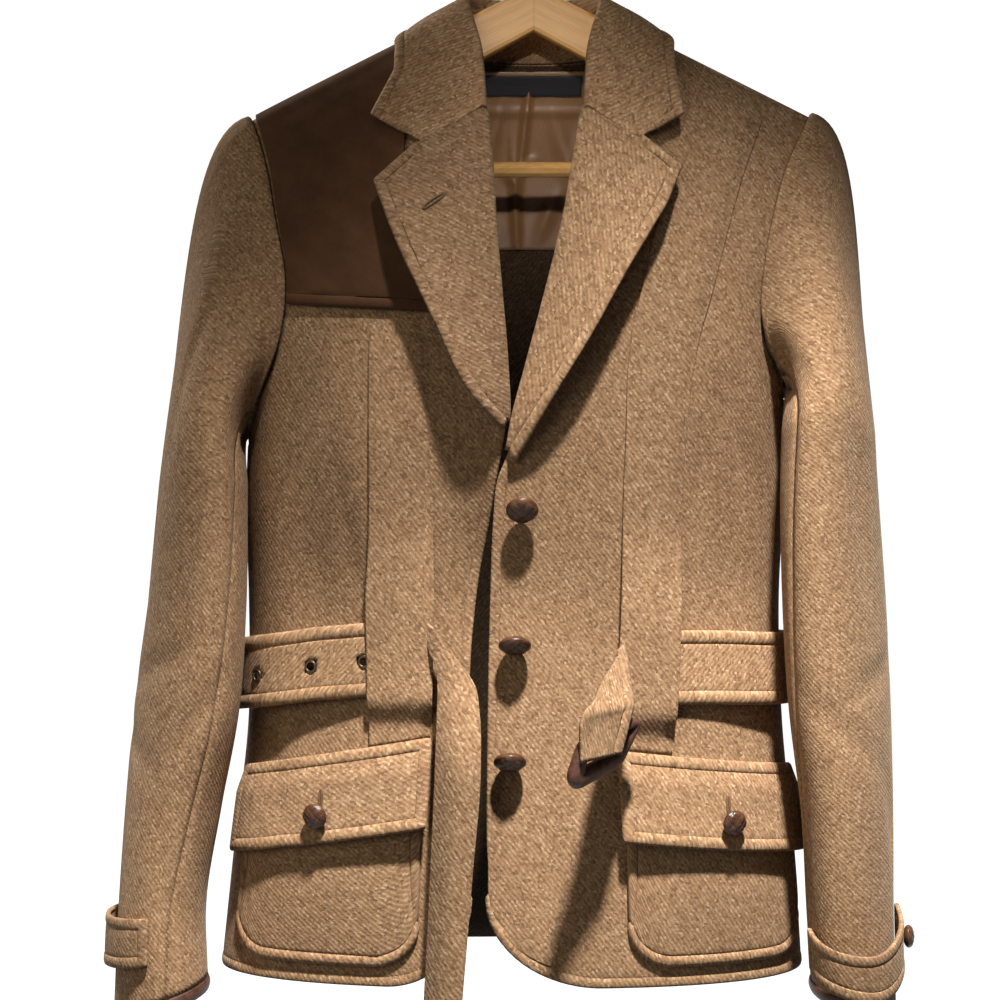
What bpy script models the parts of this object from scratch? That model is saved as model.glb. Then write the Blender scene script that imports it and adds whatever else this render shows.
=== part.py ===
"""Belted tweed jacket hanging open on a wooden hanger.

The jacket is cut as a maker cuts it: two fronts with turned-back lapels, one
back, a folded collar, two-piece sleeves and the pieces sewn on them. Sizes are
in millimetres. +X is the wearer's left, -Y the front and +Z up. The origin is
inside the bend of the hook, where a rail carries the hanger.
"""

import math

import bpy
import numpy as np
from mathutils import Matrix, Vector

MM = 0.001
RIGHT = -1
LEFT = 1
SIDES = {"right": RIGHT, "left": LEFT}

# Walls and the gaps between pieces
WALL = 2.0
DOUBLE_WALL = 3.0
LINING_WALL = 1.0
SEAM = 0.4
LAY = 0.8

# Body: each level's half widths, depths and how far it leans with the shoulder
HEM_LEVEL = -777.0
NECK_LEVEL = -114.0
NECK_HALF = 80.0
NECK_POINT = 88.0
SHOULDER_SLOPE = 0.5
ROUNDNESS = 2.4
SECTION_POINTS = 49
SHARE_STEP = 0.01
LEVEL_STEP = 2.0
LEVEL_PASSES = 12
TORSO_COLUMNS = ("level", "right", "left", "front", "back", "tilt")
TORSO_ROWS = (
    (-777, 222, 190, 88, 62, 0.0),
    (-700, 214, 185, 88, 62, 0.0),
    (-600, 203, 176, 83, 57, 0.0),
    (-520, 203, 174, 80, 55, 0.0),
    (-447, 205, 177, 85, 57, 0.0),
    (-390, 203, 177, 89, 60, 0.0),
    (-300, 205, 186, 84, 62, 0.35),
    (-230, 208, 203, 70, 58, 0.70),
    (-180, 210, 206, 54, 50, 0.90),
    (-150, 211, 207, 40, 41, 1.0),
    (-130, 211, 207, 26, 29, 1.0),
    (-118, 211, 207, 12.5, 14, 1.0),
    (-114, 211, 207, 0.4, 0.4, 1.0),
)
ROW_LEVELS = np.array((-777, -725, -670, -615, -560, -505, -450, -410, -375, -335, -295, -255,
                       -225, -200, -180, -162, -145, -130, -118, -114), float)

# Soft troughs and swells of the fronts: side, x, level, half width, half length, and the
# depth, which is positive where the cloth sinks
FOLD_ROWS = (
    (RIGHT, 150, -500, 22, 85, 7.0),
    (RIGHT, 118, -430, 26, 70, -4.0),
    (RIGHT, 60, -500, 18, 120, 4.0),
    (LEFT, 130, -480, 24, 90, 5.0),
    (LEFT, 40, -540, 22, 110, 3.0),
)
FOLD_FADE = 8

# Front edges: distance of the edge, roll line and neck edge from the centre
EDGE_COLUMNS = ("level", "right", "left")
EDGE_ROWS = (
    (-777, 45.0, -32.5),
    (-650, 45.0, -32.5),
    (-542, 44.6, -31.0),
    (-504, 40.6, -30.0),
    (-457, 31.5, -28.0),
    (-434, 27.6, -25.5),
    (-415, 24.0, -18.0),
    (-394, 21.0, -14.0),
    (-356, 22.0, -4.0),
    (-307, 26.0, 9.0),
    (-258, 30.0, 21.0),
    (-209, 33.0, 30.0),
    (-185, 36.0, 35.0),
    (-170, 42.0, 41.0),
    (-155, 52.0, 52.0),
    (-140, 62.0, 62.0),
    (-127, 71.0, 71.0),
    (-118, 79.0, 79.0),
    (-114, 88.0, 88.0),
)
CORNER_RADIUS = 55.0
CORNER_FADE = 6
FRONT_COLUMNS = 12
FRONT_SPREAD = 1.4
BACK_NECK_DROP = 14.0
BACK_NECK_CURVE = 0.7
BACK_NECK_FADE = 3
BACK_NECK_PLACES = np.array((-79, -60, -40, -20, 0, 20, 40, 60, 79), float)
BACK_SHOULDER_CELLS = 6
BACK_SPREAD = 1.5

# Armholes: distance of the seam from the centre on the front and on the back
ARMHOLE_COLUMNS = ("level", "front", "back")
ARMHOLE_BOTTOM = {RIGHT: -410.0, LEFT: -375.0}
ARMHOLE_ROWS = {
    RIGHT: (
        (-410, 204.0, 204.0),
        (-375, 191.0, 194.0),
        (-330, 177.0, 185.0),
        (-281, 173.0, 184.0),
        (-209, 182.0, 189.0),
        (-145, 193.0, 197.0),
        (-114, 203.0, 203.0),
    ),
    LEFT: (
        (-375, 177.0, 177.0),
        (-320, 157.0, 163.0),
        (-264, 159.0, 170.0),
        (-209, 168.0, 180.0),
        (-157, 181.0, 190.0),
        (-114, 198.0, 198.0),
    ),
}

# Sleeves: rings from the upper arm to the cuff
SLEEVE_COLUMNS = ("level", "outer", "inner", "middle", "depth", "lean", "slant", "twist")
SLEEVE_ROWS = {
    RIGHT: (
        (-789, 293, 229, -46, 44, 0.40, 11, -42),
        (-736, 291, 231, -42, 46, 0.40, 6, -36),
        (-664, 288, 221, -35, 48, 0.50, 0, -26),
        (-592, 284, 207, -32, 49, 0.70, 0, -16),
        (-520, 277, 202.5, -27, 50, 0.80, 0, -8),
        (-435, 268, 202.5, -23, 52, 0.85, 0, 0),
    ),
    LEFT: (
        (-789, 252, 192, -47, 44, 0.60, 11, 40),
        (-736, 251, 188.5, -48, 46, 0.70, 6, 34),
        (-664, 252, 184, -46, 48, 0.80, 0, 24),
        (-592, 252, 175.5, -43, 50, 0.85, 0, 15),
        (-520, 250, 171, -40, 51, 0.90, 0, 8),
        (-447, 245.5, 170, -38, 53, 0.90, 0, 3),
        (-400, 242, 172, -37, 54, 0.85, 0, 0),
    ),
}
CAP_STEPS = 6
CAP_PROUD = 2.7
TIP_LIFT = 1.5
UNDER_PROUD = 3.1
CAP_OVERLAP = 1.5
OVERLAP_GAIN = 2.0
OVERLAP_LOSS = 0.6
OVERLAP_RANGE = (-0.4, 1.0)
CAP_AWAY = 0.3
CAP_LEAVE = 0.16
ARM_LEAVE = 0.48
CAP_DRAW_IN = -0.13
UNDER_DRAW_OUT = 0.10
ARM_STEPS = 8
FRONT_SEAM_TURN = {RIGHT: 150.0, LEFT: 150.0}
BACK_SEAM_TURN = 275.0
BINDING_HEIGHT = 6.5
BINDING_WALL = 2.6

# Cuff tabs: where each runs round the cuff, and how it sags and stands off
TAB_COLUMNS = ("turn", "level", "out")
TAB_ROWS = {
    RIGHT: ((-70, -748, 2.8), (-20, -747, 6.0), (20, -746, 7.0), (60, -746, 4.0), (78, -746, 2.8)),
    LEFT: ((8, -742, 2.8), (40, -752, 7.0), (90, -768, 9.0), (135, -766, 6.0), (165, -760, 2.8)),
}
TAB_WIDTH = 30.0
TAB_CELLS = 10
TAB_BUTTON_TURN = {RIGHT: -58.0, LEFT: 20.0}

# Lapels: the outer edge against the share of the roll line
LAPEL_COLUMNS = ("share", "x", "z", "lift")
LAPEL_BREAK = {RIGHT: -394.0, LEFT: -414.0}
GORGE_LEVEL = -182.0
LAPEL_ROWS = {
    RIGHT: (
        (0.0, 23.0, -398, 1.0),
        (0.12, 38.0, -381, 5.0),
        (0.40, 65.0, -332, 12.0),
        (0.75, 92.0, -271, 12.0),
        (1.0, 106.0, -233, 8.0),
    ),
    LEFT: (
        (0.0, -15.5, -421, 1.0),
        (0.15, 9.2, -380, 5.0),
        (0.38, 36.4, -336, 11.0),
        (0.58, 57.2, -298, 13.0),
        (0.80, 81.0, -257, 11.0),
        (1.0, 95.3, -224, 7.0),
    ),
}
LAPEL_TURN = ((-0.8, 0.0), (-1.1, 1.4), (-0.1, 2.9))
LAPEL_REST = 3.4
LAPEL_FIRST = 0.06
LAPEL_ROLL = 1.2
LAPEL_WALL = 2.4
LAPEL_CELLS = 6
LAPEL_STEPS = 9

# Collar: fold and outer edge from the gorge round to the centre back
COLLAR_COLUMNS = ("station", "fold_x", "fold_y", "fold_z", "edge_x", "edge_z", "edge_out")
COLLAR_ROWS = (
    (0.0, 35.0, -58, -174, 104.0, -184, 9.0),
    (0.25, 39.0, -33, -128, 95.0, -152, 7.0),
    (0.5, 48.0, -2, -88, 92.0, -120, 5.0),
    (0.75, 37.0, 24, -82, 62.0, -138, 5.0),
    (1.0, 0.0, 37, -81, 0.0, -144, 5.0),
)
COLLAR_TIP = {RIGHT: 110.0, LEFT: 99.0}
COLLAR_TIP_SPAN = 0.25
NOTCH = {RIGHT: (78.0, -205.0), LEFT: (70.5, -202.5)}
NOTCH_SHARE = 0.62
COLLAR_GORGE = -172.0
COLLAR_STATIONS = 10
SHOULDER_STATION = 0.5
COLLAR_STAND_CELLS = 2
COLLAR_LEAF_CELLS = 5
COLLAR_BULGE = 5.0
COLLAR_SEAM_IN = 1.0
COLLAR_SEAM_RISE = 1.4
COLLAR_SHOULDER_RISE = 3.5
COLLAR_SHOULDER_SPAN = 0.15
COLLAR_FOLD_WIDTH = 2.6
COLLAR_FOLD_SHARE = 0.08
COLLAR_FOLD_DROP = 1.0
COLLAR_SWELL = 2.0
NOTCH_OUT = 8.0

# Pieces laid on the fronts
STRIP_COLUMNS = ("level", "inner", "outer")
STRIP_ROWS = {
    RIGHT: ((-620, 70.5, 112.5), (-320, 70.5, 112.5)),
    LEFT: (
        (-625, 51, 92),
        (-542, 57, 96),
        (-414, 60, 101),
        (-332, 65, 111.6),
        (-304, 71.5, 119),
        (-251, 84, 131),
        (-200, 96, 143),
        (-114, 122, 168),
    ),
}
STRIP_TOP = {RIGHT: -321.5, LEFT: -116.5}
STRIP_LEVELS = np.array((-600, -588, -562, -536, -522, -505, -478))
STRIP_LIFT = 6.2
STRIP_WIDTH = 41.0
STRIP_CELLS = 2
STRIP_FOOT = 2.2
STRIP_SPAN = 26.0
STRIP_RAMP = 20.0
FLAP_INNER = {RIGHT: 72.0, LEFT: 56.6}
FLAP_WIDTH = 139.0
FLAP_HEIGHT = 57.0
FLAP_TOP = {RIGHT: -611.0, LEFT: -620.0}
FLAP_SLANT = {RIGHT: 25.0, LEFT: 16.0}
FLAP_CELLS = 8
FLAP_DOWN = (1.0, 0.7, 0.35, 0.12, 0.0)
FLAP_BUTTON_ROW = 1
FLAP_STEP = 4.6
FLAP_BEND = 0.3
FLAP_KICK = 4.5
SIDE_LIMIT = 0.98
POCKET_WIDTH = 131.0
POCKET_INSET = 4.0
POCKET_TUCK = 16.0
POCKET_BOTTOM = -763.0
POCKET_RADIUS = 28.0
POCKET_BULGE = 3.0
POCKET_CELLS = (5, 8)
POCKET_FADE = 3
PATCH_BOTTOM = -320.0
PATCH_BOTTOM_OUTER = 174.0
PATCH_RISE = 8.0
PATCH_COLUMNS = ("level", "inner")
PATCH_ROWS = ((-320, 62), (-262, 80), (-226, 89), (-190, 89), (-150, 89), (-114, 91))
PATCH_LAY = 1.3
PATCH_SECOND = -283.0
PATCH_EDGE = 1.2
PATCH_CELLS = 8
PATCH_INSET = 4.4

# Belt: its route round the body, from the right front to the left front
BELT_COLUMNS = ("round", "level", "out")
BELT_WIDTH = 46.0
BELT_WALL = 4.0
BELT_ROWS = (
    (-1.735, -553, 3.6),
    (-1.55, -556, 3.6),
    (-1.25, -565, 10.0),
    (-1.0, -573, 4.2),
    (-0.5, -570, 4.2),
    (0.0, -568, 3.4),
    (0.5, -567, 4.2),
    (1.0, -567, 4.2),
    (1.22, -565, 7.0),
    (1.53, -562, 3.2),
    (1.725, -562, 3.2),
)
BELT_STEPS = 56
BELT_LINES = np.array((-0.5, 0.0, 0.5))
EYELET_RADIUS = 2.4
EYELET_SIDES = 10
EYELET_PAST = 1.0
EYELET_SPOTS = ((-1.195, -570), (-1.363, -563), (-1.515, -558))
TAIL_PIVOT = (-70.0, -577.0)
TAIL_REACH = (31.0, 45.0)
TAIL_END = -800.0
TAIL_Y = (-103.0, -119.0)
TAIL_START_Y = -88.2
TAIL_CURL = 7.0
TAIL_WALL = 3.0
TAIL_CELLS = 4
TAIL_FIRST = 0.06
TAIL_TAPER = 0.25
TAIL_DRIFT = -5.0
TAIL_FAN_STEPS = 5
TAIL_FALL_STEPS = 8
BUCKLE_ROWS = (
    ((53.6, -84.4, -541.0), (52.2, -84.6, -551.0)),
    ((49.4, -95.5, -543.5), (48.4, -95.5, -552.5)),
    ((51.3, -104.0, -555.0), (58.6, -101.0, -556.5)),
    ((43.1, -120.0, -566.1), (60.5, -107.0, -569.4)),
    ((35.3, -136.0, -579.6), (61.5, -117.0, -581.6)),
    ((27.2, -144.5, -589.5), (59.4, -124.0, -590.7)),
    ((30.0, -143.8, -604.5), (52.2, -132.5, -606.0)),
)
BUCKLE_CORNERS = (
    (66.4, -112.0, -593.8),
    (52.2, -118.0, -618.3),
    (23.4, -146.0, -629.3),
    (30.1, -140.0, -604.8),
)
BUCKLE_BAR = 6.5
BUCKLE_END_CELLS = 3

# Buttons
FRONT_BUTTONS = ((-9.5, -452.0), (-14.2, -542.0), (-17.6, -621.0))
FRONT_BUTTON_SIZE = (22.0, 11.0)
FLAP_BUTTON_SIZE = (17.5, 9.5)
CUFF_BUTTON_SIZE = (16.0, 8.0)
FLAP_BUTTON_CELL = 4
BUTTON_SIDES = 10
BUTTON_RINGS = 6

# Lining and label inside the back neck
LINING_HALF = 140.0
LINING_LEVELS = np.array((-259, -225, -190, -165, -145, -131), float)
LINING_CELLS = 14
LINING_TAPER = 0.45
LABEL_SIZE = (72.0, 14.0)
LABEL_MIDDLE = -140.0
LABEL_CELLS = 6

# Hanger
ARM_TOP = -116.2
ARM_LOW_APEX = -110.0
ARM_LOW_SLOPE = 0.54
ARM_END = 180.0
ARM_FOOT = (160.0, -217.0)
ARM_HALF_WIDTH = 6.0
ARM_BEVEL = 3.0
ARM_TIP_CUT = 4.0
ARM_FOOT_CUT = 8.0
BAR_LEVEL = -209.0
BAR_RADIUS = 5.5
BAR_ROUNDING = 3
HOOK_RADIUS = 22.0
WIRE_RADIUS = 2.0
WIRE_ROUNDING = 2
HOOK_ARC = (-55, 205)
HOOK_STEPS = 18
HOOK_STEM = 14.0
HOOK_LEAD = 9.0
HOOK_LEAD_TURN = 35
HOOK_LEAD_SHARES = (0.25, 0.5, 0.75)

# Colours of the materials: base colour, roughness, metallic
FINISHES = {
    "tweed": ((0.36, 0.21, 0.10), 0.95, 0.0),
    "suede": ((0.05, 0.022, 0.011), 1.0, 0.0),
    "satin": ((0.16, 0.085, 0.04), 0.45, 0.0),
    "label": ((0.012, 0.010, 0.018), 0.7, 0.0),
    "leather": ((0.07, 0.025, 0.014), 0.5, 0.0),
    "knot_leather": ((0.035, 0.012, 0.007), 0.3, 0.0),
    "wood": ((0.60, 0.38, 0.19), 0.5, 0.0),
    "steel": ((0.75, 0.75, 0.76), 0.25, 1.0),
}


def clear_scene():
    """Start from an empty scene."""
    for item in list(bpy.data.objects):
        bpy.data.objects.remove(item, do_unlink=True)


def new_collection(name):
    group = bpy.data.collections.new(name)
    bpy.context.scene.collection.children.link(group)
    return group


def make_material(name, finish):
    colour, roughness, metallic = FINISHES[finish]
    material = bpy.data.materials.new(name)
    material.use_nodes = True
    shader = material.node_tree.nodes["Principled BSDF"]
    shader.inputs["Base Color"].default_value = (*colour, 1.0)
    shader.inputs["Roughness"].default_value = roughness
    shader.inputs["Metallic"].default_value = metallic
    return material


def add_object(name, data, finish, group):
    item = bpy.data.objects.new(name, data)
    data.materials.append(make_material(name, finish))
    group.objects.link(item)
    return item


def curve_through(knots, values, at):
    """Smooth curve through knots that rise, level beyond its two ends."""
    knots = np.asarray(knots, float)
    values = np.asarray(values, float)
    slopes = np.gradient(values, knots)
    at = np.clip(at, knots[0], knots[-1])
    span = np.clip(np.searchsorted(knots, at, side="right") - 1, 0, len(knots) - 2)
    width = knots[span + 1] - knots[span]
    t = (at - knots[span]) / width
    start = (1 + 2 * t) * (1 - t) ** 2 * values[span] + t * (1 - t) ** 2 * width * slopes[span]
    end = t * t * (3 - 2 * t) * values[span + 1] + t * t * (t - 1) * width * slopes[span + 1]
    return start + end


def read_table(columns, rows, name, at):
    """Value of a table's named column where its first column has the value at."""
    place = columns.index(name)
    return curve_through([row[0] for row in rows], [row[place] for row in rows], at)


def torso_size(name, level):
    return read_table(TORSO_COLUMNS, TORSO_ROWS, name, level)


def half_width(side, level):
    return np.where(np.asarray(side) > 0, torso_size("left", level), torso_size("right", level))


def quarter(width, depth):
    """Quarter of a section from its flat middle to its side, with the share of its length."""
    turn = np.linspace(0, math.pi / 2, SECTION_POINTS)
    x = np.asarray(width)[..., None] * np.sin(turn) ** (2 / ROUNDNESS)
    y = np.asarray(depth)[..., None] * np.cos(turn) ** (2 / ROUNDNESS)
    steps = np.hypot(np.diff(x), np.diff(y))
    length = np.concatenate((np.zeros(x.shape[:-1] + (1,)), np.cumsum(steps, axis=-1)), axis=-1)
    return x, y, length / length[..., -1:], length[..., -1]


def read_along(knots, values, at):
    """Straight reading of values against knots that rise along the last axis."""
    at = np.asarray(at, float)
    after = np.clip((knots < at[..., None]).sum(-1), 1, knots.shape[-1] - 1)[..., None]
    low, high = (np.take_along_axis(knots, after + k, -1)[..., 0] for k in (-1, 0))
    first, last = (np.take_along_axis(values, after + k, -1)[..., 0] for k in (-1, 0))
    return first + (last - first) * (at - low) / (high - low)


def fold_depth(side, x, level):
    """How far the soft troughs push the front in at a place."""
    total = np.zeros(np.broadcast(side, x, level).shape)
    for fold_side, middle, height, wide, long, depth in FOLD_ROWS:
        near = np.exp(-((x - middle) / wide) ** 2 - ((level - height) / long) ** 2)
        total = total + np.where(np.asarray(side) == fold_side, depth * near, 0)
    return total


def torso(side, share, level):
    """Point of the body: share 0 is the centre front, 1 the side and 2 the centre back."""
    side, share, level = np.broadcast_arrays(np.asarray(side, float), share, level)
    width = half_width(side, level)
    at_back = share > 1
    depth = np.where(at_back, torso_size("back", level), torso_size("front", level))
    part = np.where(at_back, 2 - share, np.abs(share))
    x, y, shares, _ = quarter(width, depth)
    out = read_along(shares, x, part)
    deep = read_along(shares, y, part)
    outward = np.where(share < 0, -out, out)
    settled = np.clip((1 - np.abs(share)) * FOLD_FADE, 0, 1)
    sink = np.where(at_back, 0, fold_depth(side, outward, level) * settled)
    drop = torso_size("tilt", level) * SHOULDER_SLOPE * np.maximum(0, out - NECK_HALF)
    return np.stack((side * outward, np.where(at_back, deep, sink - deep), level - drop), axis=-1)


def unit(vectors):
    return vectors / np.maximum(np.linalg.norm(vectors, axis=-1, keepdims=True), 1e-9)


def torso_normal(side, share, level):
    after, before = np.minimum(share + SHARE_STEP, 2), share - SHARE_STEP
    along = torso(side, after, level) - torso(side, before, level)
    above, below = np.minimum(level + LEVEL_STEP, NECK_LEVEL), level - LEVEL_STEP
    up = torso(side, share, above) - torso(side, share, below)
    return unit(np.cross(along, up) * np.asarray(side, float)[..., None])


def torso_out(side, share, level, out):
    """Point of the body moved out along its normal."""
    side, share, level, out = np.broadcast_arrays(np.asarray(side, float), share, level, out)
    return torso(side, share, level) + torso_normal(side, share, level) * out[..., None]


def front_share(side, x, level):
    """Share of the front quarter at a distance from the centre line."""
    side, x, level = np.broadcast_arrays(np.asarray(side, float), x, level)
    points, _, shares, _ = quarter(half_width(side, level), torso_size("front", level))
    return np.sign(x) * read_along(points, shares, np.abs(x))


def back_share(side, x, level):
    side, x, level = np.broadcast_arrays(np.asarray(side, float), x, level)
    points, _, shares, _ = quarter(half_width(side, level), torso_size("back", level))
    return 2 - read_along(points, shares, x)


def front_length(side, level):
    return quarter(half_width(side, level), torso_size("front", level))[3]


def level_of(x, z):
    """Level whose line, with its lean, passes a height at a distance from the centre."""
    level = np.array(z, float)
    for _ in range(LEVEL_PASSES):
        level = z + torso_size("tilt", level) * SHOULDER_SLOPE * np.maximum(0, x - NECK_HALF)
        level = np.minimum(level, NECK_LEVEL)
    return level


def front_at(side, x, z, out):
    """Point of a front seen at x and z, moved out."""
    level = level_of(x, z)
    return torso_out(side, front_share(side, x, level), level, out)


def side_name(side):
    return "left" if side > 0 else "right"


def front_edge(side, level):
    return read_table(EDGE_COLUMNS, EDGE_ROWS, side_name(side), level)


def corner_rise(distance, radius):
    """Rise of a rounded corner at a distance from its edge."""
    inside = np.clip(radius - distance, 0, radius)
    return radius - np.sqrt(radius ** 2 - inside ** 2)


def outer_share(side, level, face):
    """Share where a front or the back ends: at the armhole, or at the side seam below it."""
    x = read_table(ARMHOLE_COLUMNS, ARMHOLE_ROWS[side], face, level)
    gap = SEAM / 2 / front_length(side, level)
    if face == "front":
        return np.where(level <= ARMHOLE_BOTTOM[side], 1 - gap, front_share(side, x, level))
    return np.where(level <= ARMHOLE_BOTTOM[side], 1 + gap, back_share(side, x, level))


def front_points(side):
    """A front, from its edge and roll line out to the side seam and armhole."""
    across = np.linspace(0, 1, FRONT_COLUMNS + 1) ** FRONT_SPREAD
    level, across = np.meshgrid(ROW_LEVELS, across, indexing="ij")
    height = (level - HEM_LEVEL) / (NECK_LEVEL - HEM_LEVEL)
    span = half_width(side, HEM_LEVEL) + torso_size("front", HEM_LEVEL)
    level = level + corner_rise(across * span, CORNER_RADIUS) * (1 - height) ** CORNER_FADE
    inner = front_share(side, front_edge(side, level), level)
    outer = outer_share(side, level, "front")
    return torso(side, inner + (outer - inner) * across, level)


def back_neck_drop(x):
    """How far the back neck lies below the neck level at a distance from the centre."""
    return BACK_NECK_DROP * np.maximum(0, 1 - (x / NECK_POINT) ** 2) ** BACK_NECK_CURVE


def back_points():
    """The back in one piece, with its neck hollowed between the shoulder lines."""
    tips = {side: ARMHOLE_ROWS[side][-1][2] for side in (RIGHT, LEFT)}
    spread = 1 - np.linspace(1, 0, BACK_SHOULDER_CELLS + 1) ** BACK_SPREAD
    right = -(NECK_POINT + (tips[RIGHT] - NECK_POINT) * spread[::-1])
    left = NECK_POINT + (tips[LEFT] - NECK_POINT) * spread
    top = np.concatenate((right, BACK_NECK_PLACES, left))
    side = np.where(top > 0, LEFT, RIGHT)
    drop = back_neck_drop(np.abs(top))
    height = (ROW_LEVELS - HEM_LEVEL) / (NECK_LEVEL - HEM_LEVEL)
    level = ROW_LEVELS[:, None] - drop[None, :] * height[:, None] ** BACK_NECK_FADE
    ends = np.where(side > 0, outer_share(LEFT, level, "back"), outer_share(RIGHT, level, "back"))
    part = np.abs(top) / np.where(side > 0, tips[LEFT], tips[RIGHT])
    return torso(side, 2 - (2 - ends) * part, level)


def neck_edge(side, station):
    """Neck edge of the body from the gorge (0) over the shoulder (0.5) to the centre back (1)."""
    if station <= SHOULDER_STATION:
        level = COLLAR_GORGE + (NECK_LEVEL - COLLAR_GORGE) * station / SHOULDER_STATION
        return torso(side, front_share(side, front_edge(side, level), level), level)
    x = NECK_POINT * (1 - station) / (1 - SHOULDER_STATION)
    level = NECK_LEVEL - back_neck_drop(x)
    return torso(side, back_share(side, x, level), level)


def collar_edge(side, station):
    """Outer edge of the collar's leaf, lying off the front, the shoulder or the back."""
    x, z, out = (read_table(COLLAR_COLUMNS, COLLAR_ROWS, name, station)
                 for name in ("edge_x", "edge_z", "edge_out"))
    first_edge = COLLAR_ROWS[0][COLLAR_COLUMNS.index("edge_x")]
    x = x + (COLLAR_TIP[side] - first_edge) * max(0, 1 - station / COLLAR_TIP_SPAN)
    if station < SHOULDER_STATION:
        return front_at(side, x, z, WALL + out)
    level = level_of(x, z)
    return torso_out(side, back_share(side, x, level), level, WALL + out)


def collar_profile(side, station):
    """Collar from its seam up the stand, over the fold and down the leaf."""
    seam = neck_edge(side, station)
    fold = np.array([read_table(COLLAR_COLUMNS, COLLAR_ROWS, name, station)
                     for name in ("fold_x", "fold_y", "fold_z")])
    fold[0] *= side
    edge = collar_edge(side, station)
    inward = unit(np.array((fold[0] - seam[0], fold[1] - seam[1], 0.0)))
    over_shoulder = max(0, 1 - abs(station - SHOULDER_STATION) / COLLAR_SHOULDER_SPAN)
    rise = COLLAR_SEAM_RISE + COLLAR_SHOULDER_RISE * over_shoulder
    seam = seam + inward * COLLAR_SEAM_IN + np.array((0, 0, rise))
    points = [seam + (fold - seam) * t for t in np.linspace(0, 1, COLLAR_STAND_CELLS + 1)[:-1]]
    away = unit(np.array((edge[0] - fold[0], edge[1] - fold[1], 0.0)))
    start = fold + away * COLLAR_FOLD_WIDTH
    points.append(fold + (start - fold) * COLLAR_FOLD_SHARE - np.array((0, 0, COLLAR_FOLD_DROP)))
    points.append(start)
    leaf = np.linspace(0, 1, COLLAR_LEAF_CELLS + 1)[1:]
    if station == 0:
        notch = front_at(side, NOTCH[side][0], NOTCH[side][1], WALL + NOTCH_OUT)
        bent = [start + (notch - start) * t / NOTCH_SHARE for t in leaf if t < NOTCH_SHARE]
        rest = [notch + (edge - notch) * (t - NOTCH_SHARE) / (1 - NOTCH_SHARE)
                for t in leaf if t >= NOTCH_SHARE]
        return np.array(points + bent + rest)
    middle = (fold + edge) / 2 + np.array((0, 0, COLLAR_BULGE)) + away * COLLAR_SWELL
    bent = [(1 - t) ** 2 * start + 2 * t * (1 - t) * middle + t * t * edge for t in leaf]
    return np.array(points + bent)


def collar_points():
    """Whole collar, from the right gorge round the back to the left gorge."""
    stations = np.linspace(0, 1, COLLAR_STATIONS + 1)
    right = [collar_profile(RIGHT, s) for s in stations]
    left = [collar_profile(LEFT, s) for s in stations[-2::-1]]
    return np.array(right + left)


def lapel_points(side):
    """A lapel: wrapped round the roll line, then laid back over the front with its edge lifted."""
    share = np.linspace(0, 1, LAPEL_STEPS + 1)
    rows = LAPEL_ROWS[side]
    roll_z = LAPEL_BREAK[side] + (GORGE_LEVEL - LAPEL_BREAK[side]) * share
    roll_x = front_edge(side, roll_z)
    edge_x, edge_z, lift = (read_table(LAPEL_COLUMNS, rows, name, share) for name in ("x", "z", "lift"))
    columns = []
    for shift, out in LAPEL_TURN:
        columns.append(front_at(side, roll_x + shift, roll_z, out))
    for part in np.linspace(LAPEL_FIRST, 1, LAPEL_CELLS + 1):
        x = roll_x + (edge_x - roll_x) * part + LAPEL_ROLL * (1 - part)
        z = roll_z + (edge_z - roll_z) * part
        columns.append(front_at(side, x, z, LAPEL_REST + lift * part))
    return np.stack(columns, axis=1)


def armhole_ring(side):
    """Armhole from the shoulder tip down the front and up the back, with its normals."""
    levels = ROW_LEVELS[ROW_LEVELS >= ARMHOLE_BOTTOM[side]][::-1]
    front = outer_share(side, levels, "front")
    back = outer_share(side, levels, "back")
    points = np.concatenate((torso(side, front, levels), torso(side, back, levels)[-2:0:-1]))
    normals = np.concatenate((torso_normal(side, front, levels),
                              torso_normal(side, back, levels)[-2:0:-1]))
    normals[0] = unit(normals[1] + normals[-1]) * TIP_LIFT
    return points, normals


def sleeve_ring(side, turn, level):
    """Point of the arm: turn 0 is its outer side, 90 the front, 180 the inner side."""
    outer, inner, middle, depth, lean, slant = (
        read_table(SLEEVE_COLUMNS, SLEEVE_ROWS[side], name, level)
        for name in ("outer", "inner", "middle", "depth", "lean", "slant"))
    angle = np.radians(turn)
    half = (outer - inner) / 2
    x = (outer + inner) / 2 + half * np.cos(angle)
    y = middle + lean * half * np.cos(angle) - depth * np.sin(angle)
    z = level - slant * np.cos(angle)
    return np.stack((side * x, y, z), axis=-1)


def sleeve_out(side, turn, level, out):
    along = sleeve_ring(side, turn + 1, level) - sleeve_ring(side, turn - 1, level)
    up = sleeve_ring(side, turn, level + 1) - sleeve_ring(side, turn, level - 1)
    normal = unit(np.cross(up, along)) * side
    return sleeve_ring(side, turn, level) + normal * np.asarray(out)[..., None]


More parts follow.
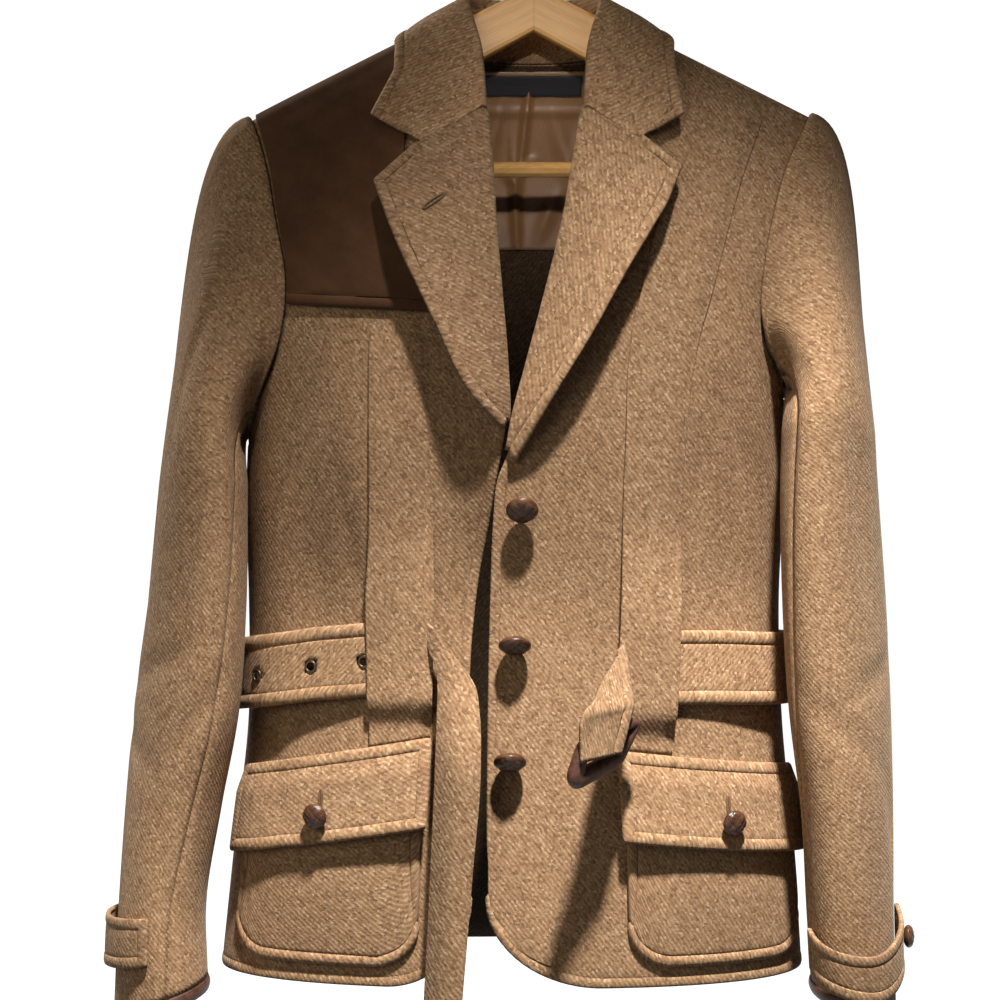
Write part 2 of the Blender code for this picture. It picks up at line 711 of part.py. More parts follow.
def sleeve_points(side):
    """Whole sleeve as rings, from the armhole over the cap and down the arm, with the turns."""
    ring, normals = armhole_ring(side)
    count = len(ring)
    edge = unit(np.roll(ring, -1, axis=0) - np.roll(ring, 1, axis=0))
    away = np.cross(normals, edge)
    away = away * np.sign(away @ np.array((side, 0, CAP_AWAY)))[:, None]
    rising = np.maximum(0, away[:, 2:])
    facing = OVERLAP_GAIN * np.abs(normals[:, 1:2]) - OVERLAP_LOSS
    overlap = CAP_OVERLAP * np.clip(facing, *OVERLAP_RANGE)
    start = ring + normals * (CAP_PROUD + UNDER_PROUD * np.sqrt(rising)) - away * overlap
    steps = np.linalg.norm(np.diff(np.concatenate((ring, ring[:1])), axis=0), axis=1)
    bottom = count // 2
    travel = np.concatenate(((0,), np.cumsum(steps)))
    turns = np.where(np.arange(count) <= bottom, 180 * travel[:count] / travel[bottom],
                     180 + 180 * (travel[:count] - travel[bottom]) / (travel[count] - travel[bottom]))
    arm_top = SLEEVE_ROWS[side][-1][0]
    arm_end = SLEEVE_ROWS[side][0][0]
    target = sleeve_ring(side, turns, np.full(count, float(arm_top)))
    reach = np.linalg.norm(target - start, axis=1)[:, None]
    leave = unit(away + np.array((side, 0, 0)))
    first = start + leave * reach * CAP_LEAVE
    outer_side = np.cos(np.radians(turns))
    pull = np.where(outer_side > 0, CAP_DRAW_IN, UNDER_DRAW_OUT) * np.abs(outer_side) * side
    last = target + np.stack((pull, np.zeros(count), np.ones(count)), axis=-1) * reach * ARM_LEAVE
    rows = []
    for t in np.linspace(0, 1, CAP_STEPS + 1):
        rows.append((1 - t) ** 3 * start + 3 * t * (1 - t) ** 2 * first
                    + 3 * t * t * (1 - t) * last + t ** 3 * target)
    for level in np.linspace(arm_top, arm_end, ARM_STEPS + 1)[1:]:
        twist = read_table(SLEEVE_COLUMNS, SLEEVE_ROWS[side], "twist", level)
        rows.append(sleeve_ring(side, turns + twist, np.full(count, level)))
    return np.array(rows), turns


def trim_columns(points, gap):
    """Draw the first and last column of a grid in by a gap."""
    points = points.copy()
    for end, near in ((0, 1), (-1, -2)):
        points[:, end] += unit(points[:, near] - points[:, end]) * gap
    return points


def grid_mesh(name, points, flip=False, wrap=False):
    """Mesh of a grid of points, in rows and columns."""
    rows, columns = points.shape[:2]
    last = columns if wrap else columns - 1
    faces = []
    for i in range(rows - 1):
        for j in range(last):
            k = (j + 1) % columns
            face = (i * columns + j, i * columns + k, (i + 1) * columns + k, (i + 1) * columns + j)
            faces.append(face[::-1] if flip else face)
    mesh = bpy.data.meshes.new(name)
    mesh.from_pydata((points.reshape(-1, 3) * MM).tolist(), [], faces)
    mesh.shade_smooth()
    return mesh


def cloth(name, points, finish, group, wall=WALL, flip=False, wrap=False):
    """A wall of cloth that grows outwards from a grid of points."""
    item = add_object(name, grid_mesh(name, points, flip, wrap), finish, group)
    thicken = item.modifiers.new("wall", "SOLIDIFY")
    thicken.thickness = wall * MM
    thicken.offset = 1.0
    return item


def strip_points(side):
    """Applied strip of a front, lifted where the belt passes under it."""
    top = STRIP_TOP[side]
    inside = ROW_LEVELS[(ROW_LEVELS > STRIP_LEVELS[-1]) & (ROW_LEVELS < top - 1)]
    levels = np.concatenate((STRIP_LEVELS[:1], STRIP_LEVELS, inside, (top,)))
    level, part = np.meshgrid(levels, np.linspace(0, 1, STRIP_CELLS + 1), indexing="ij")
    level[0] = flap_top(side, part[0] * STRIP_WIDTH) + STRIP_FOOT
    inner = read_table(STRIP_COLUMNS, STRIP_ROWS[side], "inner", level)
    outer = read_table(STRIP_COLUMNS, STRIP_ROWS[side], "outer", level)
    x = inner + (outer - inner) * part
    under = BELT_ROWS[0][0] if side < 0 else BELT_ROWS[-1][0]
    belt = read_table(BELT_COLUMNS, BELT_ROWS, "level", under)
    over = np.clip((BELT_WIDTH / 2 + STRIP_SPAN - np.abs(level - belt)) / STRIP_RAMP, 0, 1)
    lift = STRIP_LIFT * over * over * (3 - 2 * over)
    return torso_out(side, front_share(side, x, level), level, WALL + LAY + lift)


def flap_top(side, across):
    """Level of a flap's top edge at a distance from its inner end."""
    return FLAP_TOP[side] - FLAP_SLANT[side] * across / FLAP_WIDTH


def flap_points(side):
    """Pocket flap, sewn along its top and standing off towards its lower edge."""
    down, part = np.meshgrid(np.array(FLAP_DOWN), np.linspace(0, 1, FLAP_CELLS + 1), indexing="ij")
    top = flap_top(side, part * FLAP_WIDTH)
    level = top - FLAP_HEIGHT * down
    start = front_share(side, np.full(part.shape, FLAP_INNER[side]), top)
    share = start + part * FLAP_WIDTH / front_length(side, top)
    out = WALL + 2 * LAY + FLAP_STEP * np.minimum(1, down / FLAP_BEND)
    out = out + FLAP_KICK * down ** 2 * (1 - part ** 4)
    return torso_out(side, np.minimum(share, SIDE_LIMIT), level, out)


def pocket_points(side):
    """Patch pocket with rounded lower corners; its mouth is under the flap."""
    rows, columns = POCKET_CELLS
    up, part = np.meshgrid(np.linspace(0, 1, rows + 1), np.linspace(0, 1, columns + 1), indexing="ij")
    across = POCKET_INSET + part * POCKET_WIDTH
    top = flap_top(side, across) - POCKET_TUCK
    level = POCKET_BOTTOM + (top - POCKET_BOTTOM) * up
    ends = np.minimum(part, 1 - part) * POCKET_WIDTH
    level = level + corner_rise(ends, POCKET_RADIUS) * (1 - up) ** POCKET_FADE
    start = front_share(side, np.full(part.shape, FLAP_INNER[side]), top)
    share = start + across / front_length(side, top)
    swell = POCKET_BULGE * np.sin(math.pi * part) * np.sin(math.pi * up)
    return torso_out(side, np.minimum(share, SIDE_LIMIT), level, WALL + LAY + swell)


def patch_points():
    """Shoulder patch, from the shoulder seam down to its straight lower edge."""
    rows = ROW_LEVELS[(ROW_LEVELS > PATCH_SECOND) & (ROW_LEVELS < NECK_LEVEL)]
    levels = np.concatenate(((PATCH_BOTTOM, PATCH_SECOND), rows[1:], (NECK_LEVEL - PATCH_EDGE,)))
    level, part = np.meshgrid(levels, np.linspace(0, 1, PATCH_CELLS + 1), indexing="ij")
    reach = PATCH_ROWS[0][1] + (PATCH_BOTTOM_OUTER - PATCH_ROWS[0][1]) * part[0]
    level[0] = level_of(reach, PATCH_BOTTOM + PATCH_RISE * part[0])
    inner = front_share(RIGHT, read_table(PATCH_COLUMNS, PATCH_ROWS, "inner", level), level)
    outer = outer_share(RIGHT, level, "front") - PATCH_INSET / front_length(RIGHT, level)
    return torso_out(RIGHT, inner + (outer - inner) * part, level, WALL + PATCH_LAY)


def belt_place(around, across, out):
    """Point of the belt: around is -2 at the right front, 0 at the back and 2 at the left front."""
    side = np.where(around > 0, LEFT, RIGHT)
    level = read_table(BELT_COLUMNS, BELT_ROWS, "level", around) + across
    return torso_out(side, 2 - np.abs(around), level, out)


def belt_points():
    around = np.linspace(BELT_ROWS[0][0], BELT_ROWS[-1][0], BELT_STEPS + 1)
    across, around = np.meshgrid(BELT_LINES * BELT_WIDTH, around, indexing="ij")
    return belt_place(around, across, read_table(BELT_COLUMNS, BELT_ROWS, "out", around))


def tail_points():
    """Belt's tail: it turns down in a fan at the strip's edge, then hangs with a slight curl."""
    part = np.linspace(0, 1, TAIL_CELLS + 1)
    reach = TAIL_FIRST + (1 - TAIL_FIRST) * part
    hung = TAIL_Y[0] + (TAIL_Y[1] - TAIL_Y[0]) * part - TAIL_CURL * np.sin(math.pi * part)
    rows = []
    for fall in np.linspace(0, 1, TAIL_FAN_STEPS + 1):
        x = TAIL_PIVOT[0] + TAIL_REACH[0] * reach * fall
        y = TAIL_START_Y + (hung - TAIL_START_Y) * fall
        z = TAIL_PIVOT[1] + TAIL_REACH[1] * reach * (1 - fall)
        rows.append(np.stack((x, y, z), axis=-1))
    for drop in np.linspace(0, 1, TAIL_FALL_STEPS + 1)[1:]:
        x = TAIL_PIVOT[0] + TAIL_REACH[0] * reach * (1 - TAIL_TAPER * drop) + TAIL_DRIFT * drop
        z = np.full(len(part), TAIL_PIVOT[1] + (TAIL_END - TAIL_PIVOT[1]) * drop)
        rows.append(np.stack((x, hung, z), axis=-1))
    return np.array(rows)


def buckle_end_points():
    """Short end of the belt, straight across between its two edges."""
    upper, lower = (np.array([row[k] for row in BUCKLE_ROWS]) for k in (0, 1))
    part = np.linspace(0, 1, BUCKLE_END_CELLS + 1)[None, :, None]
    return upper[:, None] + (lower - upper)[:, None] * part


def tab_points(side):
    """Cuff tab, bent round the cuff and standing off between its ends."""
    rows = TAB_ROWS[side]
    turn = np.linspace(rows[0][0], rows[-1][0], TAB_CELLS + 1)
    across, turn = np.meshgrid(BELT_LINES * TAB_WIDTH, turn, indexing="ij")
    level = read_table(TAB_COLUMNS, rows, "level", turn) + across
    out = read_table(TAB_COLUMNS, rows, "out", turn)
    return sleeve_out(side, turn, level, out)


def lining_points():
    """Half lining, just inside the back from the neck down."""
    across = np.linspace(-LINING_HALF, LINING_HALF, LINING_CELLS + 1)
    level, x = np.meshgrid(LINING_LEVELS, across, indexing="ij")
    side = np.where(x > 0, LEFT, RIGHT)
    top = (level - LINING_LEVELS[0]) / (LINING_LEVELS[-1] - LINING_LEVELS[0])
    x = x * (1 - LINING_TAPER * top ** 2)
    return torso_out(side, back_share(side, np.abs(x), level), level, -LAY - LINING_WALL)


def label_points():
    """Bare label on the lining, below the back neck."""
    width, height = LABEL_SIZE
    levels = LABEL_MIDDLE + np.array((-0.5, 0.5)) * height
    level, x = np.meshgrid(levels, np.linspace(-0.5, 0.5, LABEL_CELLS + 1) * width, indexing="ij")
    side = np.where(x > 0, LEFT, RIGHT)
    return torso_out(side, back_share(side, np.abs(x), level), level, -2 * LAY - 2 * LINING_WALL)


def add_button(name, point, normal, size, group):
    """Domed button: a flattened ball whose back rests just off the cloth."""
    width, height = size
    bpy.ops.mesh.primitive_uv_sphere_add(segments=BUTTON_SIDES, ring_count=BUTTON_RINGS, radius=0.5)
    item = bpy.context.object
    item.name = name
    item.data.name = name
    item.data.transform(Matrix.Diagonal((width * MM, width * MM, height * MM, 1)))
    item.data.shade_smooth()
    item.data.materials.append(make_material(name, "knot_leather"))
    normal = Vector(normal)
    item.location = (Vector(point) + normal * (height / 2 + SEAM)) * MM
    item.rotation_euler = normal.to_track_quat("Z", "Y").to_euler()
    for owner in list(item.users_collection):
        owner.objects.unlink(item)
    group.objects.link(item)


def wall_face(points, i, j, wall):
    """Point and normal on the outer face of a wall of cloth, at a place of its grid."""
    along = points[i, j + 1] - points[i, j - 1]
    up = points[i + 1, j] - points[i - 1, j]
    normal = unit(np.cross(along, up))
    if normal[1] > 0:
        normal = -normal
    return points[i, j] + normal * wall, normal


def add_tube(name, route, radius, rounding, finish, group):
    """Round bar along a route."""
    curve = bpy.data.curves.new(name, "CURVE")
    curve.dimensions = "3D"
    curve.bevel_depth = radius * MM
    curve.bevel_resolution = rounding
    curve.use_fill_caps = True
    spline = curve.splines.new("POLY")
    spline.points.add(len(route) - 1)
    for place, point in zip(spline.points, route):
        place.co = (point[0] * MM, point[1] * MM, point[2] * MM, 1)
    return add_object(name, curve, finish, group)


def add_hanger(group):
    """Wooden arms in one flat shape, the trouser bar between their feet, and the wire hook."""
    top_middle = ARM_TOP + SHOULDER_SLOPE * NECK_HALF
    tip = top_middle - SHOULDER_SLOPE * ARM_END
    knee = ARM_LOW_APEX - ARM_LOW_SLOPE * ARM_FOOT[0]
    half = [(ARM_END - ARM_TIP_CUT, tip + ARM_TIP_CUT * SHOULDER_SLOPE), (ARM_END, tip - ARM_TIP_CUT),
            (ARM_END, ARM_FOOT[1] + ARM_FOOT_CUT), (ARM_END - ARM_FOOT_CUT, ARM_FOOT[1]),
            ARM_FOOT, (ARM_FOOT[0], knee)]
    outline = ([(0, top_middle)] + half + [(0, ARM_LOW_APEX)]
               + [(-x, z) for x, z in half[::-1]])
    curve = bpy.data.curves.new("hanger_arms", "CURVE")
    curve.dimensions = "2D"
    curve.fill_mode = "BOTH"
    curve.extrude = (ARM_HALF_WIDTH - ARM_BEVEL) * MM
    curve.bevel_depth = ARM_BEVEL * MM
    curve.bevel_resolution = 1
    curve.offset = -ARM_BEVEL * MM
    spline = curve.splines.new("POLY")
    spline.points.add(len(outline) - 1)
    for place, (x, z) in zip(spline.points, outline):
        place.co = (x * MM, z * MM, 0, 1)
    spline.use_cyclic_u = True
    arms = add_object("hanger_arms", curve, "wood", group)
    arms.rotation_euler = (math.pi / 2, 0, 0)
    bar_end = ARM_FOOT[0] - SEAM
    bar = ((-bar_end, 0, BAR_LEVEL), (bar_end, 0, BAR_LEVEL))
    add_tube("hanger_bar", bar, BAR_RADIUS, BAR_ROUNDING, "wood", group)
    bend = HOOK_RADIUS + WIRE_RADIUS
    middle = -HOOK_RADIUS
    arc = np.radians(np.linspace(*HOOK_ARC, HOOK_STEPS + 1))
    hook = [(bend * math.cos(a), 0, middle + bend * math.sin(a)) for a in arc]
    foot = np.array((0, 0, top_middle + SEAM))
    neck = np.array((0, 0, top_middle + HOOK_STEM))
    start = np.array(hook[0])
    lead_turn = math.radians(HOOK_LEAD_TURN)
    lead = start - np.array((math.cos(lead_turn), 0, math.sin(lead_turn))) * HOOK_LEAD
    stem = [foot, neck]
    for t in HOOK_LEAD_SHARES:
        stem.append((1 - t) ** 2 * neck + 2 * t * (1 - t) * lead + t * t * start)
    add_tube("hanger_hook", stem + hook, WIRE_RADIUS, WIRE_ROUNDING, "steel", group)


def add_sleeves(side, group):
    """Upper and under sleeve, the cuff's binding, its tab and its button."""
    name = side_name(side)
    points, turns = sleeve_points(side)
    count = len(turns)
    front_seam = int(np.argmin(np.abs(turns - FRONT_SEAM_TURN[side])))
    back_seam = int(np.argmin(np.abs(turns - BACK_SEAM_TURN)))
    upper = np.arange(back_seam - count, front_seam + 1) % count
    under = np.arange(front_seam, back_seam + 1)
    for label, places in (("upper", upper), ("under", under)):
        panel = trim_columns(points[:, places], SEAM / 2)
        cloth(f"sleeve_{label}_{name}", panel, "tweed", group, flip=side < 0)
    down = unit(points[-1] - points[-2])
    band = np.array((points[-1] + down * SEAM, points[-1] + down * (SEAM + BINDING_HEIGHT)))
    cloth(f"cuff_binding_{name}", band, "leather", group, BINDING_WALL, flip=side < 0, wrap=True)
    tab = tab_points(side)
    cloth(f"cuff_tab_{name}", tab, "tweed", group, DOUBLE_WALL, flip=side > 0)
    turn = TAB_BUTTON_TURN[side]
    level, out = (read_table(TAB_COLUMNS, TAB_ROWS[side], part, turn) for part in ("level", "out"))
    low = sleeve_out(side, np.float64(turn), np.float64(level), out + DOUBLE_WALL)
    high = sleeve_out(side, np.float64(turn), np.float64(level), out + DOUBLE_WALL + 1)
    add_button(f"cuff_button_{name}", low, high - low, CUFF_BUTTON_SIZE, group)


def add_belt(group, cutters):
    """Belt round the body with its eyelets, the hanging tail and the buckle end."""
    belt = cloth("belt_round", belt_points(), "tweed", group, BELT_WALL, flip=True)
    for count, (around, level) in enumerate(EYELET_SPOTS, 1):
        middle = float(read_table(BELT_COLUMNS, BELT_ROWS, "level", around))
        out = float(read_table(BELT_COLUMNS, BELT_ROWS, "out", around))
        inner, outer = (belt_place(np.float64(around), np.float64(level - middle), np.float64(d))
                        for d in (out - EYELET_PAST, out + BELT_WALL + EYELET_PAST))
        axis = Vector(outer - inner)
        depth = 2 * axis.length * MM
        bpy.ops.mesh.primitive_cylinder_add(vertices=EYELET_SIDES, radius=EYELET_RADIUS * MM, depth=depth)
        cutter = bpy.context.object
        cutter.name = f"eyelet_cutter_{count}"
        cutter.location = (Vector(inner) + axis / 2) * MM
        cutter.rotation_euler = axis.to_track_quat("Z", "Y").to_euler()
        cutter.hide_render = True
        cutter.display_type = "WIRE"
        for owner in list(cutter.users_collection):
            owner.objects.unlink(cutter)
        cutters.objects.link(cutter)
        hole = belt.modifiers.new(f"eyelet_{count}", "BOOLEAN")
        hole.operation = "DIFFERENCE"
        hole.object = cutter
    cloth("belt_tail", tail_points(), "tweed", group, TAIL_WALL, flip=True)
    cloth("belt_buckle_end", buckle_end_points(), "tweed", group, TAIL_WALL, flip=True)
    add_buckle(group)


def add_buckle(group):
    """Leather-covered buckle frame hanging from the belt's end, turned nearly edge on."""
    curve = bpy.data.curves.new("buckle", "CURVE")
    curve.dimensions = "3D"
    curve.bevel_depth = BUCKLE_BAR / 2 * MM
    curve.bevel_resolution = 1
    spline = curve.splines.new("POLY")
    spline.points.add(len(BUCKLE_CORNERS) - 1)
    for place, (x, y, z) in zip(spline.points, BUCKLE_CORNERS):
        place.co = (x * MM, y * MM, z * MM, 1)
    spline.use_cyclic_u = True
    add_object("buckle", curve, "leather", group)


def add_body(group):
    """Fronts, back, lapels, collar, lining and label."""
    for name, side in SIDES.items():
        cloth(f"front_{name}", front_points(side), "tweed", group, flip=side < 0)
        cloth(f"lapel_{name}", lapel_points(side), "tweed", group, LAPEL_WALL, flip=side < 0)
    cloth("back", back_points(), "tweed", group, flip=True)
    cloth("collar", collar_points(), "tweed", group, flip=True)
    cloth("lining", lining_points(), "satin", group, LINING_WALL, flip=True)
    cloth("label", label_points(), "label", group, LINING_WALL, flip=True)


def add_front_pieces(group):
    """Strips, pockets, flaps, shoulder patch and buttons."""
    for name, side in SIDES.items():
        turned = side < 0
        cloth(f"strip_{name}", strip_points(side), "tweed", group, flip=turned)
        cloth(f"pocket_{name}", pocket_points(side), "tweed", group, flip=turned)
        flap = flap_points(side)
        cloth(f"flap_{name}", flap, "tweed", group, DOUBLE_WALL, flip=turned)
        point, normal = wall_face(flap, FLAP_BUTTON_ROW, FLAP_BUTTON_CELL, DOUBLE_WALL)
        add_button(f"flap_button_{name}", point, normal, FLAP_BUTTON_SIZE, group)
    cloth("shoulder_patch", patch_points(), "suede", group, flip=True)
    for count, (x, z) in enumerate(FRONT_BUTTONS, 1):
        low, high = (front_at(LEFT, np.float64(x), np.float64(z), np.float64(WALL + SEAM + d))
                     for d in (0, 1))
        add_button(f"front_button_{count}", low, high - low, FRONT_BUTTON_SIZE, group)


def main():
    clear_scene()
    jacket = new_collection("tweed_jacket")
    cutters = new_collection("cutters")
    add_body(jacket)
    add_front_pieces(jacket)
    for side in (RIGHT, LEFT):
        add_sleeves(side, jacket)
    add_belt(jacket, cutters)
    add_hanger(jacket)


main()
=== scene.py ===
"""Looks of the belted tweed jacket on its wooden hanger.

Sizes are in millimetres until a mesh is made. +X is the wearer's left, -Y the
front and +Z up. The origin is inside the bend of the hook.
"""

import math

import bpy
import numpy as np
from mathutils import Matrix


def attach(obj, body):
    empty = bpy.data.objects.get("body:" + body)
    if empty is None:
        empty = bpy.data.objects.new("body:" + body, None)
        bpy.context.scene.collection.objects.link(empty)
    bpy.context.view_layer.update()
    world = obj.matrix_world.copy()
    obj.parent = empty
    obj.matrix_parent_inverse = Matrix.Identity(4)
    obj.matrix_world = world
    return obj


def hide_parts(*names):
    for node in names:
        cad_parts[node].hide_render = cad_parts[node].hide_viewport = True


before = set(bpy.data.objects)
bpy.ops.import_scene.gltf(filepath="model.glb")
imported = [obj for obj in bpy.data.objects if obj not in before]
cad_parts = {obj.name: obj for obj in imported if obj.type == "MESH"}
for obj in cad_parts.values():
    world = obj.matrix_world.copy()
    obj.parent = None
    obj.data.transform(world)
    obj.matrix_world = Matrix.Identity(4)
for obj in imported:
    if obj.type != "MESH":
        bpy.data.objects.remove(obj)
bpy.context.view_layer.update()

MM = 0.001
RIGHT = -1
LEFT = 1
NAMES = {RIGHT: "right", LEFT: "left"}

# Walls and the gaps between pieces
WALL = 2.0
DOUBLE_WALL = 3.0
LINING_WALL = 1.0
SEAM = 0.4
LAY = 0.8

# Body: each level's half widths, depths and how far it leans with the shoulder
HEM_LEVEL = -777.0
NECK_LEVEL = -114.0
NECK_HALF = 80.0
NECK_POINT = 88.0
SHOULDER_SLOPE = 0.5
ROUNDNESS = 2.4
TORSO_COLUMNS = ("level", "right", "left", "front", "back", "tilt")
TORSO_ROWS = (
    (-777, 222, 190, 88, 62, 0.0),
    (-700, 214, 185, 88, 62, 0.0),
    (-600, 203, 176, 83, 57, 0.0),
    (-520, 203, 174, 80, 55, 0.0),
    (-447, 205, 177, 85, 57, 0.0),
    (-390, 203, 177, 89, 60, 0.0),
    (-300, 205, 186, 84, 62, 0.35),
    (-230, 208, 203, 70, 58, 0.70),
    (-180, 210, 206, 54, 50, 0.90),
    (-150, 211, 207, 40, 41, 1.0),
    (-130, 211, 207, 26, 29, 1.0),
    (-118, 211, 207, 12.5, 14, 1.0),
    (-114, 211, 207, 0.4, 0.4, 1.0),
)
ROW_LEVELS = np.array((-777, -725, -670, -615, -560, -505, -450, -410, -375, -335, -295, -255,
                       -225, -200, -180, -162, -145, -130, -118, -114), float)

# Soft troughs and swells of the fronts: depth is positive where the cloth sinks
FOLD_ROWS = (
    (RIGHT, 150, -500, 22, 85, 0, 7.0),
    (RIGHT, 118, -430, 26, 70, 0, -4.0),
    (RIGHT, 60, -500, 18, 120, 0, 4.0),
    (LEFT, 130, -480, 24, 90, 0, 5.0),
    (LEFT, 40, -540, 22, 110, 0, 3.0),
    (RIGHT, 30, -500, 20, 60, 0, 12.0),
    (RIGHT, 128, -470, 7, 60, 0.18, 2.0),
    (RIGHT, 168, -420, 8, 55, -0.25, 2.4),
    (RIGHT, 176, -640, 9, 40, 0.2, 1.8),
    (RIGHT, 40, -640, 10, 70, 0.05, 1.8),
    (LEFT, 112, -430, 9, 70, 0.2, 1.8),
    (LEFT, 150, -430, 8, 50, -0.3, 2.2),
    (LEFT, 20, -480, 9, 60, 0.1, 1.4),
    (LEFT, 10, -690, 14, 60, -0.1, 1.8),
)

# Creases of the back: place across, level, half width, half height, lean and depth
BACK_CREASES = (
    (-166, -345, 9, 70, 0.10, 3.0),
    (-108, -440, 11, 60, -0.12, 2.6),
    (-42, -490, 10, 45, 0.10, 2.2),
    (34, -465, 9, 60, -0.08, 2.8),
    (98, -500, 10, 40, 0.20, 2.4),
    (160, -360, 9, 75, -0.12, 3.0),
    (-120, -670, 12, 55, 0.10, 2.6),
    (-15, -690, 14, 60, -0.05, 2.0),
    (85, -660, 11, 55, -0.12, 2.8),
)

# Front edges: distance of the edge, roll line and neck edge from the centre
EDGE_COLUMNS = ("level", "right", "left")
EDGE_ROWS = (
    (-777, 45.0, -32.5),
    (-650, 45.0, -32.5),
    (-542, 44.6, -31.0),
    (-504, 40.6, -30.0),
    (-457, 31.5, -28.0),
    (-434, 27.6, -25.5),
    (-415, 24.0, -18.0),
    (-394, 21.0, -14.0),
    (-356, 22.0, -4.0),
    (-307, 26.0, 9.0),
    (-258, 30.0, 21.0),
    (-209, 33.0, 30.0),
    (-185, 36.0, 35.0),
    (-170, 42.0, 41.0),
    (-155, 52.0, 52.0),
    (-140, 62.0, 62.0),
    (-127, 71.0, 71.0),
    (-118, 79.0, 79.0),
    (-114, 88.0, 88.0),
)
CORNER_RADIUS = 60.0
CORNER_REACH = 82.0
FRONT_WIDTH = 260.0
BACK_NECK_DROP = 14.0

# Armholes: distance of the seam from the centre on the front and on the back
ARMHOLE_COLUMNS = ("level", "front", "back")
ARMHOLE_BOTTOM = {RIGHT: -410.0, LEFT: -375.0}
ARMHOLE_ROWS = {
    RIGHT: (
        (-410, 204.0, 204.0),
        (-375, 191.0, 194.0),
        (-330, 177.0, 185.0),
        (-281, 173.0, 184.0),
        (-209, 182.0, 189.0),
        (-145, 193.0, 197.0),
        (-114, 203.0, 203.0),
    ),
    LEFT: (
        (-375, 177.0, 177.0),
        (-320, 157.0, 163.0),
        (-264, 159.0, 170.0),
        (-209, 168.0, 180.0),
        (-157, 181.0, 190.0),
        (-114, 198.0, 198.0),
    ),
}

# Sleeves: rings from the cuff up to the upper arm
SLEEVE_COLUMNS = ("level", "outer", "inner", "middle", "depth", "lean", "slant", "twist")
SLEEVE_ROWS = {
    RIGHT: (
        (-789, 293, 229, -46, 44, 0.40, 11, -42),
        (-736, 291, 231, -42, 46, 0.40, 6, -36),
        (-664, 288, 221, -35, 48, 0.50, 0, -26),
        (-592, 284, 207, -32, 49, 0.70, 0, -16),
        (-520, 277, 202.5, -27, 50, 0.80, 0, -8),
        (-435, 268, 202.5, -23, 52, 0.85, 0, 0),
    ),
    LEFT: (
        (-789, 252, 192, -47, 44, 0.60, 11, 40),
        (-736, 251, 188.5, -48, 46, 0.70, 6, 34),
        (-664, 252, 184, -46, 48, 0.80, 0, 24),
        (-592, 252, 175.5, -43, 50, 0.85, 0, 15),
        (-520, 250, 171, -40, 51, 0.90, 0, 8),
        (-447, 245.5, 170, -38, 53, 0.90, 0, 3),
        (-400, 242, 172, -37, 54, 0.85, 0, 0),
    ),
}
CAP_STEPS = 26
CAP_PROUD = 2.7
TIP_LIFT = 1.5
UNDER_PROUD = 3.1
CAP_OVERLAP = 1.5
CAP_LEAVE = 0.16
ARM_LEAVE = 0.48
CAP_DRAW_IN = -0.13
CAP_FACING = (0.3, 0.5)
CAP_WEAVE_FROM = 70.0
CAP_WEAVE_FADE = 80.0
CREASE_FREE_ROWS = 6
UNDER_DRAW_OUT = 0.10
ARM_STEPS = 60
FRONT_SEAM_TURN = 150.0
BACK_SEAM_TURN = 275.0
BINDING_HEIGHT = 6.5
BINDING_WALL = 2.6
BINDING_BULGE = 0.9
SEAM_SINK = 0.7
SEAM_SINK_WIDTH = 2.2
# Creases of the sleeves: turn, height, half turn, half height, lean of the trough, depth
SLEEVE_CREASES = {
    RIGHT: (
        (120, -590, 16, 30, 0.9, 2.2),
        (70, -560, 22, 16, 2.2, 1.6),
        (40, -620, 20, 18, -1.8, 1.5),
        (95, -470, 10, 60, 0.15, 2.0),
        (60, -330, 8, 70, 0.1, 2.0),
        (20, -500, 12, 70, 0.2, 1.8),
        (100, -700, 10, 50, -0.2, 1.6),
    ),
    LEFT: (
        (110, -600, 18, 26, 1.4, 1.8),
        (60, -570, 24, 16, -2.0, 1.5),
        (75, -440, 9, 80, 0.1, 1.8),
        (120, -380, 8, 60, 0.2, 2.0),
        (40, -660, 14, 50, 0.4, 1.5),
        (20, -420, 10, 90, 0.1, 1.4),
    ),
}

# Cuff tabs: where each runs round the cuff, and how it sags and stands off
TAB_COLUMNS = ("turn", "level", "out")
TAB_ROWS = {
    RIGHT: ((-70, -748, 2.8), (-20, -747, 6.0), (20, -746, 7.0), (60, -746, 4.0), (90, -746, 2.2)),
    LEFT: ((8, -742, 2.8), (40, -752, 7.0), (90, -768, 9.0), (135, -766, 6.0), (165, -760, 2.8)),
}
TAB_WIDTH = 30.0
TAB_LENGTH = 105.0
TAB_BUTTON_TURN = {RIGHT: -58.0, LEFT: 20.0}

# Lapels: the outer edge against the share of the roll line
LAPEL_COLUMNS = ("share", "x", "z", "lift")
LAPEL_BREAK = {RIGHT: -394.0, LEFT: -414.0}
GORGE_LEVEL = -182.0
LAPEL_ROWS = {
    RIGHT: (
        (0.0, 23.0, -398, 2.0),
        (0.12, 38.0, -381, 14.0),
        (0.40, 65.0, -332, 22.0),
        (0.75, 92.0, -271, 18.0),
        (1.0, 106.0, -233, 10.0),
    ),
    LEFT: (
        (0.0, -15.5, -421, 1.0),
        (0.15, 9.2, -380, 12.0),
        (0.38, 36.4, -336, 18.0),
        (0.58, 57.2, -298, 19.0),
        (0.80, 81.0, -257, 16.0),
        (1.0, 95.3, -224, 9.0),
    ),
}
LAPEL_TURN = ((-0.8, 0.0), (-1.1, 1.4), (-0.1, 2.9))
LAPEL_REST = 3.4
LAPEL_FIRST = 0.06
LAPEL_ROLL = 1.2
LAPEL_WALL = 2.4
LAPEL_REACH = 7.0
LAPEL_NOTCH = 0.6
LAPEL_LENGTH = 230.0
LAPEL_BREADTH = 75.0
LAPEL_RIM_FROM = 0.6

